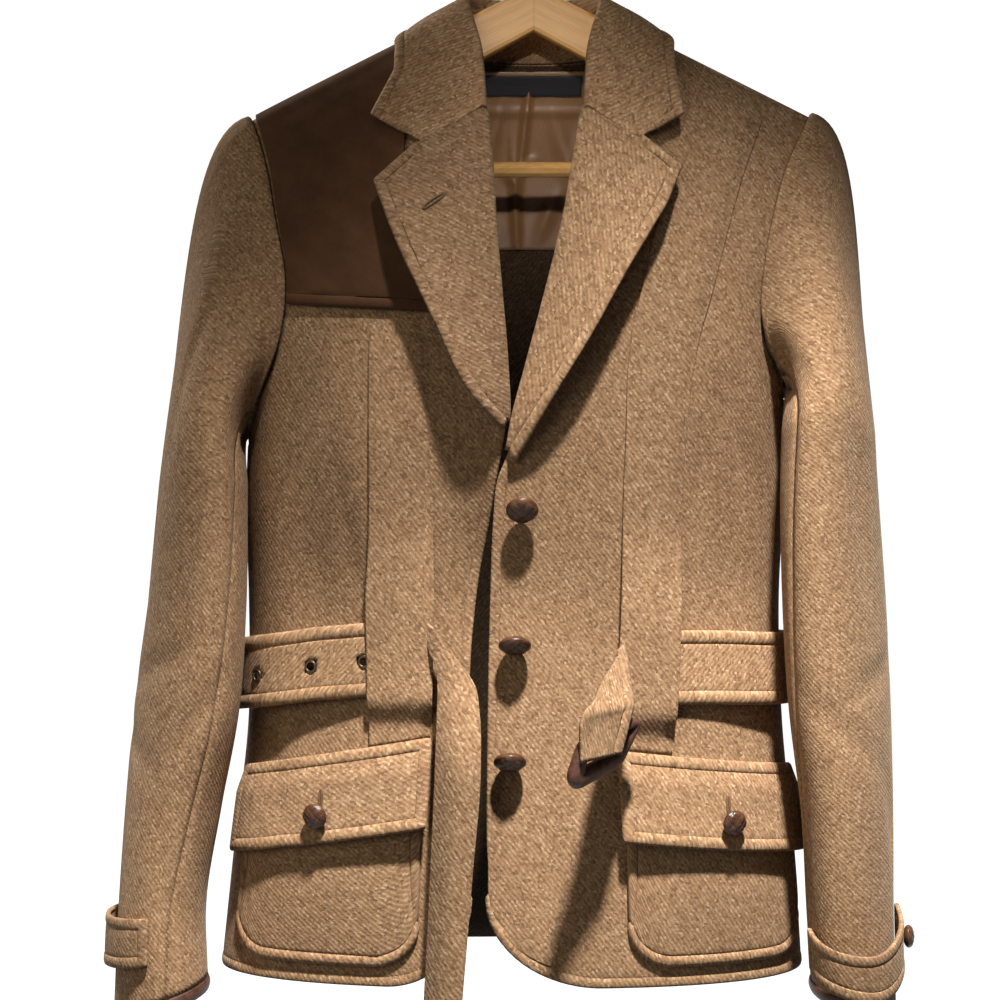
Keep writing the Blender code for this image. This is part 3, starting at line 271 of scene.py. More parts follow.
# Collar: fold and outer edge from the gorge round to the centre back
COLLAR_COLUMNS = ("station", "fold_x", "fold_y", "fold_z", "edge_x", "edge_z", "edge_out")
COLLAR_ROWS = (
    (0.0, 35.0, -58, -174, 104.0, -184, 9.0),
    (0.25, 39.0, -33, -128, 95.0, -152, 7.0),
    (0.5, 48.0, -2, -88, 92.0, -120, 5.0),
    (0.75, 37.0, 24, -82, 62.0, -138, 5.0),
    (1.0, 0.0, 37, -81, 0.0, -144, 5.0),
)
COLLAR_TIP = {RIGHT: 110.0, LEFT: 99.0}
COLLAR_TIP_SPAN = 0.25
NOTCH = {RIGHT: (78.0, -205.0), LEFT: (70.5, -202.5)}
NOTCH_SHARE = 0.62
NOTCH_SPAN = 0.1
NOTCH_OUT = 8.0
COLLAR_GORGE = -172.0
COLLAR_BULGE = 5.0
COLLAR_SEAM_IN = 1.0
COLLAR_SEAM_RISE = 1.4
COLLAR_SHOULDER_RISE = 3.5
COLLAR_SHOULDER_SPAN = 0.15
COLLAR_FOLD_WIDTH = 2.6
COLLAR_SWELL = 2.0
COLLAR_REACH = 2.0
COLLAR_LEAF = 70.0
COLLAR_LENGTH = 220.0
COLLAR_SEWN_FADE = 0.15
COLLAR_SMOOTHING = 8
COLLAR_FOLD_COLUMNS = (7, 20)
COLLAR_RIM_FROM = 0.7
COLLAR_WRAP = 0.6
COLLAR_WRAP_FADE = 15.0

# Pieces laid on the fronts
STRIP_COLUMNS = ("level", "inner", "outer")
STRIP_ROWS = {
    RIGHT: ((-620, 70.5, 112.5), (-320, 70.5, 112.5)),
    LEFT: (
        (-625, 51, 92),
        (-542, 57, 96),
        (-414, 60, 101),
        (-332, 65, 111.6),
        (-304, 71.5, 119),
        (-251, 84, 131),
        (-200, 96, 143),
        (-114, 122, 168),
    ),
}
STRIP_TOP = {RIGHT: -321.5, LEFT: -116.5}
STRIP_LIFT = 6.2
STRIP_WIDTH = 41.0
STRIP_FOOT = 2.2
STRIP_SPAN = 26.0
STRIP_RAMP = 20.0
STRIP_RISE = 80.0
STRIP_MELT = {RIGHT: 3.0, LEFT: 2.3}
STRIP_SEWN = {RIGHT: "end", LEFT: "start"}
STRIP_MELT_WIDTH = 7.0
STRIP_MELT_HEIGHT = 14.0
FLAP_INNER = {RIGHT: 72.0, LEFT: 56.6}
FLAP_WIDTH = 139.0
FLAP_HEIGHT = 57.0
FLAP_TOP = {RIGHT: -611.0, LEFT: -620.0}
FLAP_SLANT = {RIGHT: 25.0, LEFT: 16.0}
FLAP_STEP = 4.6
FLAP_BEND = 0.3
FLAP_KICK = 4.5
SIDE_LIMIT = 0.98
POCKET_WIDTH = 131.0
POCKET_HEIGHT = 110.0
POCKET_INSET = 4.0
POCKET_TUCK = 16.0
POCKET_BOTTOM = -763.0
POCKET_RADIUS = 28.0
POCKET_BULGE = 3.0
PATCH_SIZE = (110.0, 205.0)
PATCH_BOTTOM = -320.0
PATCH_BOTTOM_OUTER = 174.0
PATCH_RISE = 8.0
PATCH_COLUMNS = ("level", "inner")
PATCH_ROWS = ((-320, 62), (-262, 80), (-226, 89), (-190, 89), (-150, 89), (-114, 91))
PATCH_LAY = 1.3
PATCH_EDGE = 1.2
PATCH_INSET = 4.4

# Belt: its route round the body, from the right front to the left front
BELT_COLUMNS = ("round", "level", "out")
BELT_WIDTH = 46.0
BELT_WALL = 4.0
BELT_SHY = 0.03
BELT_ROWS = (
    (-1.735, -553, 3.6),
    (-1.55, -556, 3.6),
    (-1.25, -565, 10.0),
    (-1.0, -573, 4.2),
    (-0.5, -570, 4.2),
    (0.0, -568, 3.4),
    (0.5, -567, 4.2),
    (1.0, -567, 4.2),
    (1.22, -565, 7.0),
    (1.53, -562, 3.2),
    (1.725, -562, 3.2),
)
EYELET_RADIUS = 2.6
EYELET_SPOTS = ((-1.195, -570), (-1.363, -563), (-1.515, -558))
TAIL_COLUMNS = ("level", "left", "right")
TAIL_ROWS = (
    (-800, -73.6, -51.8),
    (-700, -69.0, -43.5),
    (-619, -65.5, -37.5),
    (-590, -65.0, -38.3),
    (-572, -65.2, -41.7),
    (-564, -66.0, -46.8),
    (-554, -68.3, -54.8),
    (-546, -72.0, -60.6),
    (-539, -76.0, -65.5),
    (-531, -79.0, -71.5),
)
TAIL_Y = (-103.0, -119.0)
TAIL_START_Y = -88.2
TAIL_CURL = 7.0
TAIL_WALL = 3.0
TAIL_EASE = 105.0
TAIL_TUCK = 6.5
TAIL_TUCK_X = -67.0
TAIL_TUCK_WIDTH = 7.0
TAIL_TUCK_LEVEL = -566.0
TAIL_TUCK_HEIGHT = 14.0
TAIL_BREADTH = 42.0
BUCKLE_ROWS = (
    ((57.0, -88.0, -545.5), (57.4, -88.0, -549.0)),
    ((54.6, -96.0, -549.5), (58.4, -95.0, -553.0)),
    ((51.3, -104.0, -556.0), (59.4, -101.0, -560.0)),
    ((43.1, -120.0, -566.1), (60.5, -107.0, -569.4)),
    ((35.3, -136.0, -579.6), (61.5, -117.0, -581.6)),
    ((27.2, -144.5, -589.5), (59.4, -124.0, -590.7)),
    ((26.8, -149.5, -617.0), (52.6, -130.5, -613.5)),
)
BUCKLE_FOLD = 2.6
BUCKLE_FOLD_PLACE = (4.9, 4.0)
BUCKLE_FOLD_WIDTH = 0.45
BUCKLE_CORNERS = (
    (66.4, -112.0, -593.8),
    (52.2, -118.0, -618.3),
    (23.4, -146.0, -629.3),
    (30.1, -140.0, -604.8),
)
BUCKLE_BAR = 6.5
BUCKLE_THICK = 3.2
BUCKLE_THICK_LEVEL = -605.0
BUCKLE_THICK_FADE = 12.0
BUCKLE_ROUND = 6.0
BUCKLE_DEPTH = 10.0

# Buttons
FRONT_BUTTONS = ((-9.5, -452.0, 0.8), (-14.2, -542.0, 2.0), (-17.6, -621.0, 1.8))
FRONT_BUTTON_SIZE = (22.0, 11.0)
FLAP_BUTTON_SIZE = (17.5, 9.5)
CUFF_BUTTON_SIZE = (16.0, 8.0)
FLAP_BUTTON_SHARE = 0.5
FLAP_BUTTON_DOWN = 0.7
FLAP_HOLE_DOWN = 0.54
FLAP_BUTTON_HANG = (0.3, 1.0)
FRONT_SHANK = 2.4
BUTTON_SAG = 2.0
KNOT_STRIPS = 1.15
KNOT_EDGE = 1.9
KNOT_DIP = 0.45
KNOT_DEPTH = 0.2
KNOT_GRID = (37, 64)
LAPEL_HOLE = (-69.0, -247.0)
LAPEL_HOLE_SIZE = (19.0, 2.6)
LAPEL_HOLE_TURN = math.radians(38)
FLAP_HOLE_SIZE = (17.0, 2.0)
CORD_RADIUS = 0.9

# Lining and label inside the back neck
LINING_HALF = 140.0
LINING_BOTTOM = -259.0
LINING_TOP = -131.0
LINING_TAPER = 0.45
LINING_CREASES = (
    (-7, -178, 3.0, 34, 0.12, -5.0),
    (-13, -225, 3.2, 36, -0.05, -4.5),
    (-4, -197, 5.0, 5, 0.6, -4.0),
    (-16, -207, 4.5, 6, -0.8, -3.5),
    (-31, -180, 6, 36, 0.25, -2.6),
    (26, -195, 7, 40, -0.3, -2.8),
    (42, -168, 6, 26, 0.5, -2.0),
    (-50, -220, 8, 30, -0.2, -2.2),
    (12, -232, 6, 20, 0.4, -2.6),
    (0, -158, 60, 3.5, 0.0, -2.0),
)
LABEL_SIZE = (72.0, 14.0)
LABEL_MIDDLE = -140.0

# Sewn rims: width and height of the raised border and depth of its stitched groove
RIM_WIDTH = 5.6
RIM_HEIGHT = 0.9
GROOVE = 0.55
GROOVE_PLACE = 6.2
GROOVE_WIDTH = 1.3
ALL_EDGES = ("start", "end", "foot", "head")
RIM_STEPS = (0, 0.9, 1.8, 2.8, 3.8, 4.8, 5.6, 6.4, 7.4, 9.0)
CELL = 5.0


def curve_through(knots, values, at):
    """Smooth cubic curve through knots that rise, level beyond its two ends."""
    knots = np.asarray(knots, float)
    values = np.asarray(values, float)
    slopes = np.gradient(values, knots)
    at = np.clip(at, knots[0], knots[-1])
    span = np.clip(np.searchsorted(knots, at, side="right") - 1, 0, len(knots) - 2)
    width = knots[span + 1] - knots[span]
    t = (at - knots[span]) / width
    start = (1 + 2 * t) * (1 - t) ** 2 * values[span] + t * (1 - t) ** 2 * width * slopes[span]
    end = t * t * (3 - 2 * t) * values[span + 1] + t * t * (t - 1) * width * slopes[span + 1]
    return start + end


def read_table(columns, rows, name, at):
    """Value of a table's named column where its first column has the value at."""
    place = columns.index(name)
    return curve_through([row[0] for row in rows], [row[place] for row in rows], at)


def read_columns(columns, rows, names, at):
    """Several columns of a table, read as one is."""
    return [read_table(columns, rows, name, at) for name in names.split()]


def smooth(part):
    """Smooth step: 3 t^2 - 2 t^3 of a part held between 0 and 1."""
    part = np.clip(part, 0, 1)
    return part * part * (3 - 2 * part)


def unit(vectors):
    """Vectors brought to length one."""
    return vectors / np.maximum(np.linalg.norm(vectors, axis=-1, keepdims=True), 1e-9)


def torso_size(name, level):
    """A column of the body's table at a level."""
    return read_table(TORSO_COLUMNS, TORSO_ROWS, name, level)


def half_width(side, level):
    """Half width of the body on one side at a level."""
    return np.where(np.asarray(side) > 0, torso_size("left", level), torso_size("right", level))


def quarter(width, depth):
    """Quarter of a superellipse from its flat middle to its side, with the share of its length."""
    turn = np.linspace(0, math.pi / 2, 49)
    x = np.asarray(width)[..., None] * np.sin(turn) ** (2 / ROUNDNESS)
    y = np.asarray(depth)[..., None] * np.cos(turn) ** (2 / ROUNDNESS)
    steps = np.hypot(np.diff(x), np.diff(y))
    length = np.concatenate((np.zeros(x.shape[:-1] + (1,)), np.cumsum(steps, axis=-1)), axis=-1)
    return x, y, length / length[..., -1:], length[..., -1]


def read_along(knots, values, at):
    """Straight reading of values against knots that rise along the last axis."""
    at = np.asarray(at, float)
    after = np.clip((knots < at[..., None]).sum(-1), 1, knots.shape[-1] - 1)[..., None]
    low, high = (np.take_along_axis(knots, after + k, -1)[..., 0] for k in (-1, 0))
    first, last = (np.take_along_axis(values, after + k, -1)[..., 0] for k in (-1, 0))
    return first + (last - first) * (at - low) / (high - low)


def troughs(rows, across, height):
    """Sum of soft bell-shaped troughs, each leaning with its height."""
    total = np.zeros(np.broadcast(across, height).shape)
    for middle, level, wide, long, lean, depth in rows:
        off = across - middle - lean * (height - level)
        total = total + depth * np.exp(-(off / wide) ** 2 - ((height - level) / long) ** 2)
    return total


def fold_depth(side, x, level):
    """How far the soft troughs push a front in at a place."""
    side = np.asarray(side)
    parts = {s: troughs([row[1:] for row in FOLD_ROWS if row[0] == s], x, level) for s in NAMES}
    return np.where(side > 0, parts[LEFT], parts[RIGHT])


def torso(side, share, level):
    """Point of the body: share 0 is the centre front, 1 the side and 2 the centre back."""
    side, share, level = np.broadcast_arrays(np.asarray(side, float), share, level)
    width = half_width(side, level)
    at_back = share > 1
    depth = np.where(at_back, torso_size("back", level), torso_size("front", level))
    part = np.where(at_back, 2 - share, np.abs(share))
    x, y, shares, _ = quarter(width, depth)
    out = read_along(shares, x, part)
    deep = read_along(shares, y, part)
    outward = np.where(share < 0, -out, out)
    settled = np.clip((1 - np.abs(share)) * 8, 0, 1)
    sink = np.where(at_back, 0, fold_depth(side, outward, level) * settled)
    drop = torso_size("tilt", level) * SHOULDER_SLOPE * np.maximum(0, out - NECK_HALF)
    return np.stack((side * outward, np.where(at_back, deep, sink - deep), level - drop), axis=-1)


def torso_normal(side, share, level):
    """Outward normal of the body: a short step round it, times a short step up."""
    along = torso(side, np.minimum(share + 0.01, 2), level) - torso(side, share - 0.01, level)
    up = torso(side, share, np.minimum(level + 2, NECK_LEVEL)) - torso(side, share, level - 2)
    return unit(np.cross(along, up) * np.asarray(side, float)[..., None])


def torso_out(side, share, level, out):
    """Point of the body moved out along its normal."""
    side, share, level, out = np.broadcast_arrays(np.asarray(side, float), share, level, out)
    return torso(side, share, level) + torso_normal(side, share, level) * out[..., None]


def front_share(side, x, level):
    """Share of the front quarter at a distance from the centre line."""
    side, x, level = np.broadcast_arrays(np.asarray(side, float), x, level)
    points, _, shares, _ = quarter(half_width(side, level), torso_size("front", level))
    return np.sign(x) * read_along(points, shares, np.abs(x))


def back_share(side, x, level):
    """Share of the back quarter at a distance from the centre line."""
    side, x, level = np.broadcast_arrays(np.asarray(side, float), x, level)
    points, _, shares, _ = quarter(half_width(side, level), torso_size("back", level))
    return 2 - read_along(points, shares, x)


def front_length(side, level):
    """Length of the front quarter of the body at a level."""
    return quarter(half_width(side, level), torso_size("front", level))[3]


def level_of(x, z):
    """Level whose line, with its lean, passes a height at a distance from the centre."""
    level = np.array(z, float)
    for _ in range(12):
        level = z + torso_size("tilt", level) * SHOULDER_SLOPE * np.maximum(0, x - NECK_HALF)
        level = np.minimum(level, NECK_LEVEL)
    return level


def front_at(side, x, z, out):
    """Point of a front seen at x and z, moved out."""
    level = level_of(x, z)
    return torso_out(side, front_share(side, x, level), level, out)


def front_edge(side, level):
    """Distance of a front's edge from the centre line at a level."""
    return read_table(EDGE_COLUMNS, EDGE_ROWS, NAMES[side], level)


def corner_rise(distance, radius):
    """Rise of a rounded corner at a distance from its edge."""
    inside = np.clip(radius - distance, 0, radius)
    return radius - np.sqrt(radius ** 2 - inside ** 2)


def outer_share(side, level, face):
    """Share where a front or the back ends: at the armhole, or at the side seam below it."""
    x = read_table(ARMHOLE_COLUMNS, ARMHOLE_ROWS[side], face, level)
    gap = SEAM / 2 / front_length(side, level)
    if face == "front":
        return np.where(level <= ARMHOLE_BOTTOM[side], 1 - gap, front_share(side, x, level))
    return np.where(level <= ARMHOLE_BOTTOM[side], 1 + gap, back_share(side, x, level))


def spread(length, rims=(True, True), cell=CELL):
    """Shares of a length: close together near the ends that carry a rim, even between them."""
    near = np.array(RIM_STEPS) / length
    first = near if rims[0] else near[:1]
    last = 1 - near[::-1] if rims[1] else np.array((1.0,))
    count = max(2, int((last[0] - first[-1]) * length / cell) + 1)
    return np.concatenate((first, np.linspace(first[-1], last[0], count + 1)[1:-1], last))


def finer(values, times):
    """Each step between values cut into several."""
    places = np.linspace(0, len(values) - 1, (len(values) - 1) * times + 1)
    return np.interp(places, np.arange(len(values)), values)


def grid(rows, columns):
    """Two arrays that give each point of a grid its row's and its column's value."""
    return np.meshgrid(rows, columns, indexing="ij")


def front_points(side):
    """A front, from its edge and roll line out to the side seam and armhole, with a round lower corner."""
    levels = np.union1d(finer(ROW_LEVELS, 7), HEM_LEVEL + np.array(RIM_STEPS))
    level, across = grid(levels, spread(FRONT_WIDTH, (True, False)))
    height = (level - HEM_LEVEL) / (NECK_LEVEL - HEM_LEVEL)
    span = half_width(side, HEM_LEVEL) + torso_size("front", HEM_LEVEL)
    rise = corner_rise(across * span, CORNER_REACH) * CORNER_RADIUS / CORNER_REACH
    level = level + rise * (1 - height) ** 6
    inner = front_share(side, front_edge(side, level), level)
    outer = outer_share(side, level, "front")
    share = inner + (outer - inner) * across
    points = torso(side, share, level)
    return points, np.stack((share * front_length(side, level), points[..., 2]), axis=-1)


def back_neck_drop(x):
    """How far the back neck lies below the neck level at a distance from the centre."""
    return BACK_NECK_DROP * np.maximum(0, 1 - (x / NECK_POINT) ** 2) ** 0.7


def back_points():
    """The back in one piece, with its neck hollowed between the shoulder lines; creases sink it."""
    tips = {side: ARMHOLE_ROWS[side][-1][2] for side in NAMES}
    shoulder = np.linspace(0, 1, 16)
    right = -(NECK_POINT + (tips[RIGHT] - NECK_POINT) * shoulder[::-1])
    left = NECK_POINT + (tips[LEFT] - NECK_POINT) * shoulder
    top = finer(np.concatenate((right, np.linspace(-NECK_POINT, NECK_POINT, 31)[1:-1], left)), 2)
    side = np.where(top > 0, LEFT, RIGHT)
    drop = back_neck_drop(np.abs(top))
    levels = finer(ROW_LEVELS, 4)
    height = (levels - HEM_LEVEL) / (NECK_LEVEL - HEM_LEVEL)
    level = levels[:, None] - drop[None, :] * height[:, None] ** 3
    ends = np.where(side > 0, outer_share(LEFT, level, "back"), outer_share(RIGHT, level, "back"))
    part = np.abs(top) / np.where(side > 0, tips[LEFT], tips[RIGHT])
    points = torso(side, 2 - (2 - ends) * part, level)
    points[..., 1] -= troughs(BACK_CREASES, points[..., 0], points[..., 2])
    return points


def neck_edge(side, station):
    """Neck edge of the body from the gorge (0) over the shoulder (0.5) to the centre back (1)."""
    level = COLLAR_GORGE + (NECK_LEVEL - COLLAR_GORGE) * np.minimum(station, 0.5) / 0.5
    front = torso(side, front_share(side, front_edge(side, level), level), level)
    x = NECK_POINT * (1 - np.maximum(station, 0.5)) / 0.5
    level = NECK_LEVEL - back_neck_drop(x)
    back = torso(side, back_share(side, x, level), level)
    return np.where(station[:, None] <= 0.5, front, back)


def collar_edge(side, station):
    """Outer edge of the collar's leaf, lying off the front, the shoulder or the back."""
    x, z, out = read_columns(COLLAR_COLUMNS, COLLAR_ROWS, "edge_x edge_z edge_out", station)
    first_edge = COLLAR_ROWS[0][COLLAR_COLUMNS.index("edge_x")]
    x = x + (COLLAR_TIP[side] - first_edge) * np.maximum(0, 1 - station / COLLAR_TIP_SPAN)
    level = level_of(x, z)
    share = np.where(station < 0.5, front_share(side, x, level), back_share(side, x, level))
    return torso_out(side, share, level, WALL + out)


def collar_half(side, station):
    """Half of the collar: straight up the stand, half a turn at the fold, then a bowed leaf to its edge.

    Near the gorge the leaf bends to the straight lines that meet at the notch.
    """
    seam = neck_edge(side, station)
    fold = np.stack(read_columns(COLLAR_COLUMNS, COLLAR_ROWS, "fold_x fold_y fold_z", station), axis=-1)
    fold[:, 0] *= side
    edge = collar_edge(side, station)
    level_only = np.array((1.0, 1.0, 0.0))
    upward = np.array((0.0, 0.0, 1.0))
    rise = COLLAR_SEAM_RISE + COLLAR_SHOULDER_RISE * np.maximum(
        0, 1 - np.abs(station - 0.5) / COLLAR_SHOULDER_SPAN)
    seam = seam + unit((fold - seam) * level_only) * COLLAR_SEAM_IN + upward * rise[:, None]
    away = unit((edge - fold) * level_only)
    start = fold + away * COLLAR_FOLD_WIDTH
    up_stand = np.linspace(0, 1, 7)[None, :-1, None]
    stand = seam[:, None] + (fold - seam)[:, None] * up_stand
    half_turn = np.linspace(0, math.pi, 7)[None, :-1, None]
    radius = COLLAR_FOLD_WIDTH / 2
    turned = (fold[:, None] + away[:, None] * radius * (1 - np.cos(half_turn))
              + upward * radius * np.sin(half_turn))
    t = spread(COLLAR_LEAF, (False, True), 3.0)[None, :, None]
    middle = (fold + edge) / 2 + upward * COLLAR_BULGE + away * COLLAR_SWELL
    bowed = (1 - t) ** 2 * start[:, None] + 2 * t * (1 - t) * middle[:, None] + t * t * edge[:, None]
    x, z = NOTCH[side]
    notch = front_at(side, np.float64(x), np.float64(z), np.float64(WALL + NOTCH_OUT))
    to_notch = start[:, None] + (notch - start)[:, None] * t / NOTCH_SHARE
    to_tip = notch + (edge - notch)[:, None] * (t - NOTCH_SHARE) / (1 - NOTCH_SHARE)
    bent = np.where(t < NOTCH_SHARE, to_notch, to_tip)
    near = np.clip(1 - station / NOTCH_SPAN, 0, 1)[:, None, None]
    leaf = bowed + (bent - bowed) * near
    whole = np.concatenate((stand, turned, leaf), axis=1)
    sewn = np.clip((NOTCH_SHARE - t.ravel()) / COLLAR_SEWN_FADE, 0, 1)
    sewn = np.concatenate((np.ones(whole.shape[1] - len(sewn)), sewn))
    whole[..., 2] -= COLLAR_REACH * near[..., 0] * sewn
    a, b = COLLAR_FOLD_COLUMNS
    for _ in range(COLLAR_SMOOTHING):
        whole[:, a:b] = (whole[:, a - 1:b - 1] + 2 * whole[:, a:b] + whole[:, a + 1:b + 1]) / 4
    return whole


def collar_points():
    """Whole collar, from the right gorge round the back to the left gorge."""
    near = np.array(RIM_STEPS) / COLLAR_LENGTH
    station = np.concatenate((near, np.linspace(near[-1], 1, 60)[1:]))
    return np.concatenate((collar_half(RIGHT, station), collar_half(LEFT, station[-2::-1])))


def lapel_points(side):
    """A lapel: wrapped round the roll line, then laid back over the front with its edge lifted."""
    share = spread(LAPEL_LENGTH, (False, True), 3.5)
    roll_z = LAPEL_BREAK[side] + (GORGE_LEVEL - LAPEL_BREAK[side]) * share
    roll_x = front_edge(side, roll_z)
    edge_x, edge_z, lift = read_columns(LAPEL_COLUMNS, LAPEL_ROWS[side], "x z lift", share[:, None])
    turn = np.linspace(0, 2, 7)
    shift, out = (curve_through((0, 1, 2), [row[k] for row in LAPEL_TURN], turn) for k in (0, 1))
    raised = (roll_z + LAPEL_REACH * share ** 6)[:, None] + 0 * shift
    wrapped = front_at(side, roll_x[:, None] + shift, raised, out)
    part = LAPEL_FIRST + (1 - LAPEL_FIRST) * spread(LAPEL_BREADTH, (False, True), 3.5)
    x = roll_x[:, None] + (edge_x - roll_x[:, None]) * part + LAPEL_ROLL * (1 - part)
    up_to_collar = LAPEL_REACH * np.clip((1 - part) / (1 - LAPEL_NOTCH), 0, 1) * share[:, None] ** 6
    z = roll_z[:, None] + (edge_z - roll_z[:, None]) * part + up_to_collar
    laid = front_at(side, x, z, LAPEL_REST + lift * part)
    return np.concatenate((wrapped, laid), axis=1)


def armhole_ring(side):
    """Armhole from the shoulder tip down the front and up the back, with its normals."""
    levels = finer(ROW_LEVELS[ROW_LEVELS >= ARMHOLE_BOTTOM[side]], 4)[::-1]
    front = outer_share(side, levels, "front")
    back = outer_share(side, levels, "back")
    points = np.concatenate((torso(side, front, levels), torso(side, back, levels)[-2:0:-1]))
    normals = np.concatenate((torso_normal(side, front, levels),
                              torso_normal(side, back, levels)[-2:0:-1]))
    normals[0] = unit(normals[1] + normals[-1]) * TIP_LIFT
    return points, normals


def sleeve_ring(side, turn, level):
    """Point of the arm, a leaning ellipse: turn 0 is its outer side, 90 the front, 180 the inner side."""
    outer, inner, middle, depth, lean, slant = read_columns(
        SLEEVE_COLUMNS, SLEEVE_ROWS[side], "outer inner middle depth lean slant", level)
    angle = np.radians(turn)
    half = (outer - inner) / 2
    x = (outer + inner) / 2 + half * np.cos(angle)
    y = middle + lean * half * np.cos(angle) - depth * np.sin(angle)
    z = level - slant * np.cos(angle)
    return np.stack((side * x, y, z), axis=-1)


def sleeve_out(side, turn, level, out):
    """Point of the arm moved out along its normal."""
    along = sleeve_ring(side, turn + 1, level) - sleeve_ring(side, turn - 1, level)
    up = sleeve_ring(side, turn, level + 1) - sleeve_ring(side, turn, level - 1)
    normal = unit(np.cross(up, along)) * side
    return sleeve_ring(side, turn, level) + normal * np.asarray(out)[..., None]


def sleeve_points(side):
    """Whole sleeve as rings: a cubic cap from the armhole to the upper arm, then the arm, with creases."""
    ring, normals = armhole_ring(side)
    count = len(ring)
    edge = unit(np.roll(ring, -1, axis=0) - np.roll(ring, 1, axis=0))
    away = np.cross(unit(normals), edge)
    away = away * np.sign(away @ np.array((side, 0, 0.3)))[:, None]
    rising = np.maximum(0, away[:, 2:])
    overlap = CAP_OVERLAP * np.clip(2 * np.abs(normals[:, 1:2]) - 0.6, -0.4, 1)
    start = ring + normals * (CAP_PROUD + UNDER_PROUD * np.sqrt(rising)) - away * overlap
    steps = np.linalg.norm(np.diff(np.concatenate((ring, ring[:1])), axis=0), axis=1)
    bottom = count // 2
    travel = np.concatenate(((0,), np.cumsum(steps)))
    turns = np.where(np.arange(count) <= bottom, 180 * travel[:count] / travel[bottom],
                     180 + 180 * (travel[:count] - travel[bottom]) / (travel[count] - travel[bottom]))
    arm_top = SLEEVE_ROWS[side][-1][0]
    arm_end = SLEEVE_ROWS[side][0][0]
    target = sleeve_ring(side, turns, np.full(count, float(arm_top)))
    reach = np.linalg.norm(target - start, axis=1)[:, None]
    leave = unit(away + np.array((side, 0, 0)))
    first = start + leave * reach * CAP_LEAVE
    outer_side = np.cos(np.radians(turns))
    pull = np.where(outer_side > 0, CAP_DRAW_IN, UNDER_DRAW_OUT) * np.abs(outer_side) * side
    last = target + np.stack((pull, np.zeros(count), np.ones(count)), axis=-1) * reach * ARM_LEAVE
    t = np.linspace(0, 1, CAP_STEPS + 1)[:, None, None]
    cap = ((1 - t) ** 3 * start + 3 * t * (1 - t) ** 2 * first
           + 3 * t * t * (1 - t) * last + t ** 3 * target)
    levels = np.linspace(arm_top, arm_end, ARM_STEPS + 1)[1:, None]
    twist = read_table(SLEEVE_COLUMNS, SLEEVE_ROWS[side], "twist", levels)
    arm = sleeve_ring(side, turns + twist, levels + 0 * turns)
    points = np.concatenate((cap, arm))
    angle = np.concatenate((np.broadcast_to(turns, cap.shape[:2]), turns + twist))
    normal = grid_normals(points, side < 0, True)
    settled = np.clip(np.arange(len(points)) / CREASE_FREE_ROWS, 0, 1)[:, None]
    sink = troughs(SLEEVE_CREASES[side], angle, points[..., 2]) * settled
    outer, inner, middle, depth, lean = read_columns(
        SLEEVE_COLUMNS, SLEEVE_ROWS[side], "outer inner middle depth lean", points[..., 2])
    sideways = side * points[..., 0] - (outer + inner) / 2
    forwards = middle + lean * sideways - points[..., 1]
    seen = np.degrees(np.arctan2(forwards / depth, 2 * sideways / (outer - inner)))
    seen = seen + 360 * np.round((angle - seen) / 360)
    radius = np.hypot((outer - inner) / 2, depth) / math.sqrt(2)
    facing = -normal[..., 1]
    flat = smooth((np.abs(facing) - CAP_FACING[0]) / CAP_FACING[1])
    flat = flat * smooth((points[..., 2] - arm_top + CAP_WEAVE_FROM) / CAP_WEAVE_FADE)
    across = np.where(facing > 0, sideways, -math.pi * radius - sideways)
    across = (1 - flat) * np.radians(90 - seen) * radius + flat * across
    uv = np.stack((across, points[..., 2]), axis=-1)
    return points - normal * sink[..., None], turns, uv, 2 * math.pi * radius


def grid_normals(points, flip=False, wrap=False):
    """Outward normals of a grid: across its columns, times up its rows."""
    if wrap:
        along = np.roll(points, -1, axis=1) - np.roll(points, 1, axis=1)
    else:
        along = np.gradient(points, axis=1)
    normal = unit(np.cross(along, np.gradient(points, axis=0)))
    return -normal if flip else normal


def lengths(points, axis):
    """Length along a grid's lines from their start, for every point."""
    steps = np.linalg.norm(np.diff(points, axis=axis), axis=-1)
    zero = np.zeros_like(steps.take([0], axis=axis))
    return np.concatenate((zero, np.cumsum(steps, axis=axis)), axis=axis)


def edge_distance(points, edges, first=0):
    """Distance of each point from the nearest named edge; foot and head fade out before a first column."""
    across, along = lengths(points, 1), lengths(points, 0)
    plain = 2.0 * np.maximum(0, first - np.arange(points.shape[1])) ** 2
    ways = {
        "start": across,
        "end": across[:, -1:] - across,
        "foot": along + plain,
        "head": along[-1:] - along + plain,
    }
    return np.minimum.reduce([ways[name] for name in edges])


def rim_height(distance):
    """Raised border with a stitched groove: half an ellipse, then a narrow trough."""
    half = RIM_WIDTH / 2
    puff = RIM_HEIGHT * np.sqrt(np.clip(1 - ((distance - half) / half) ** 2, 0, 1))
    return puff - GROOVE * np.exp(-((distance - GROOVE_PLACE) / GROOVE_WIDTH) ** 2)


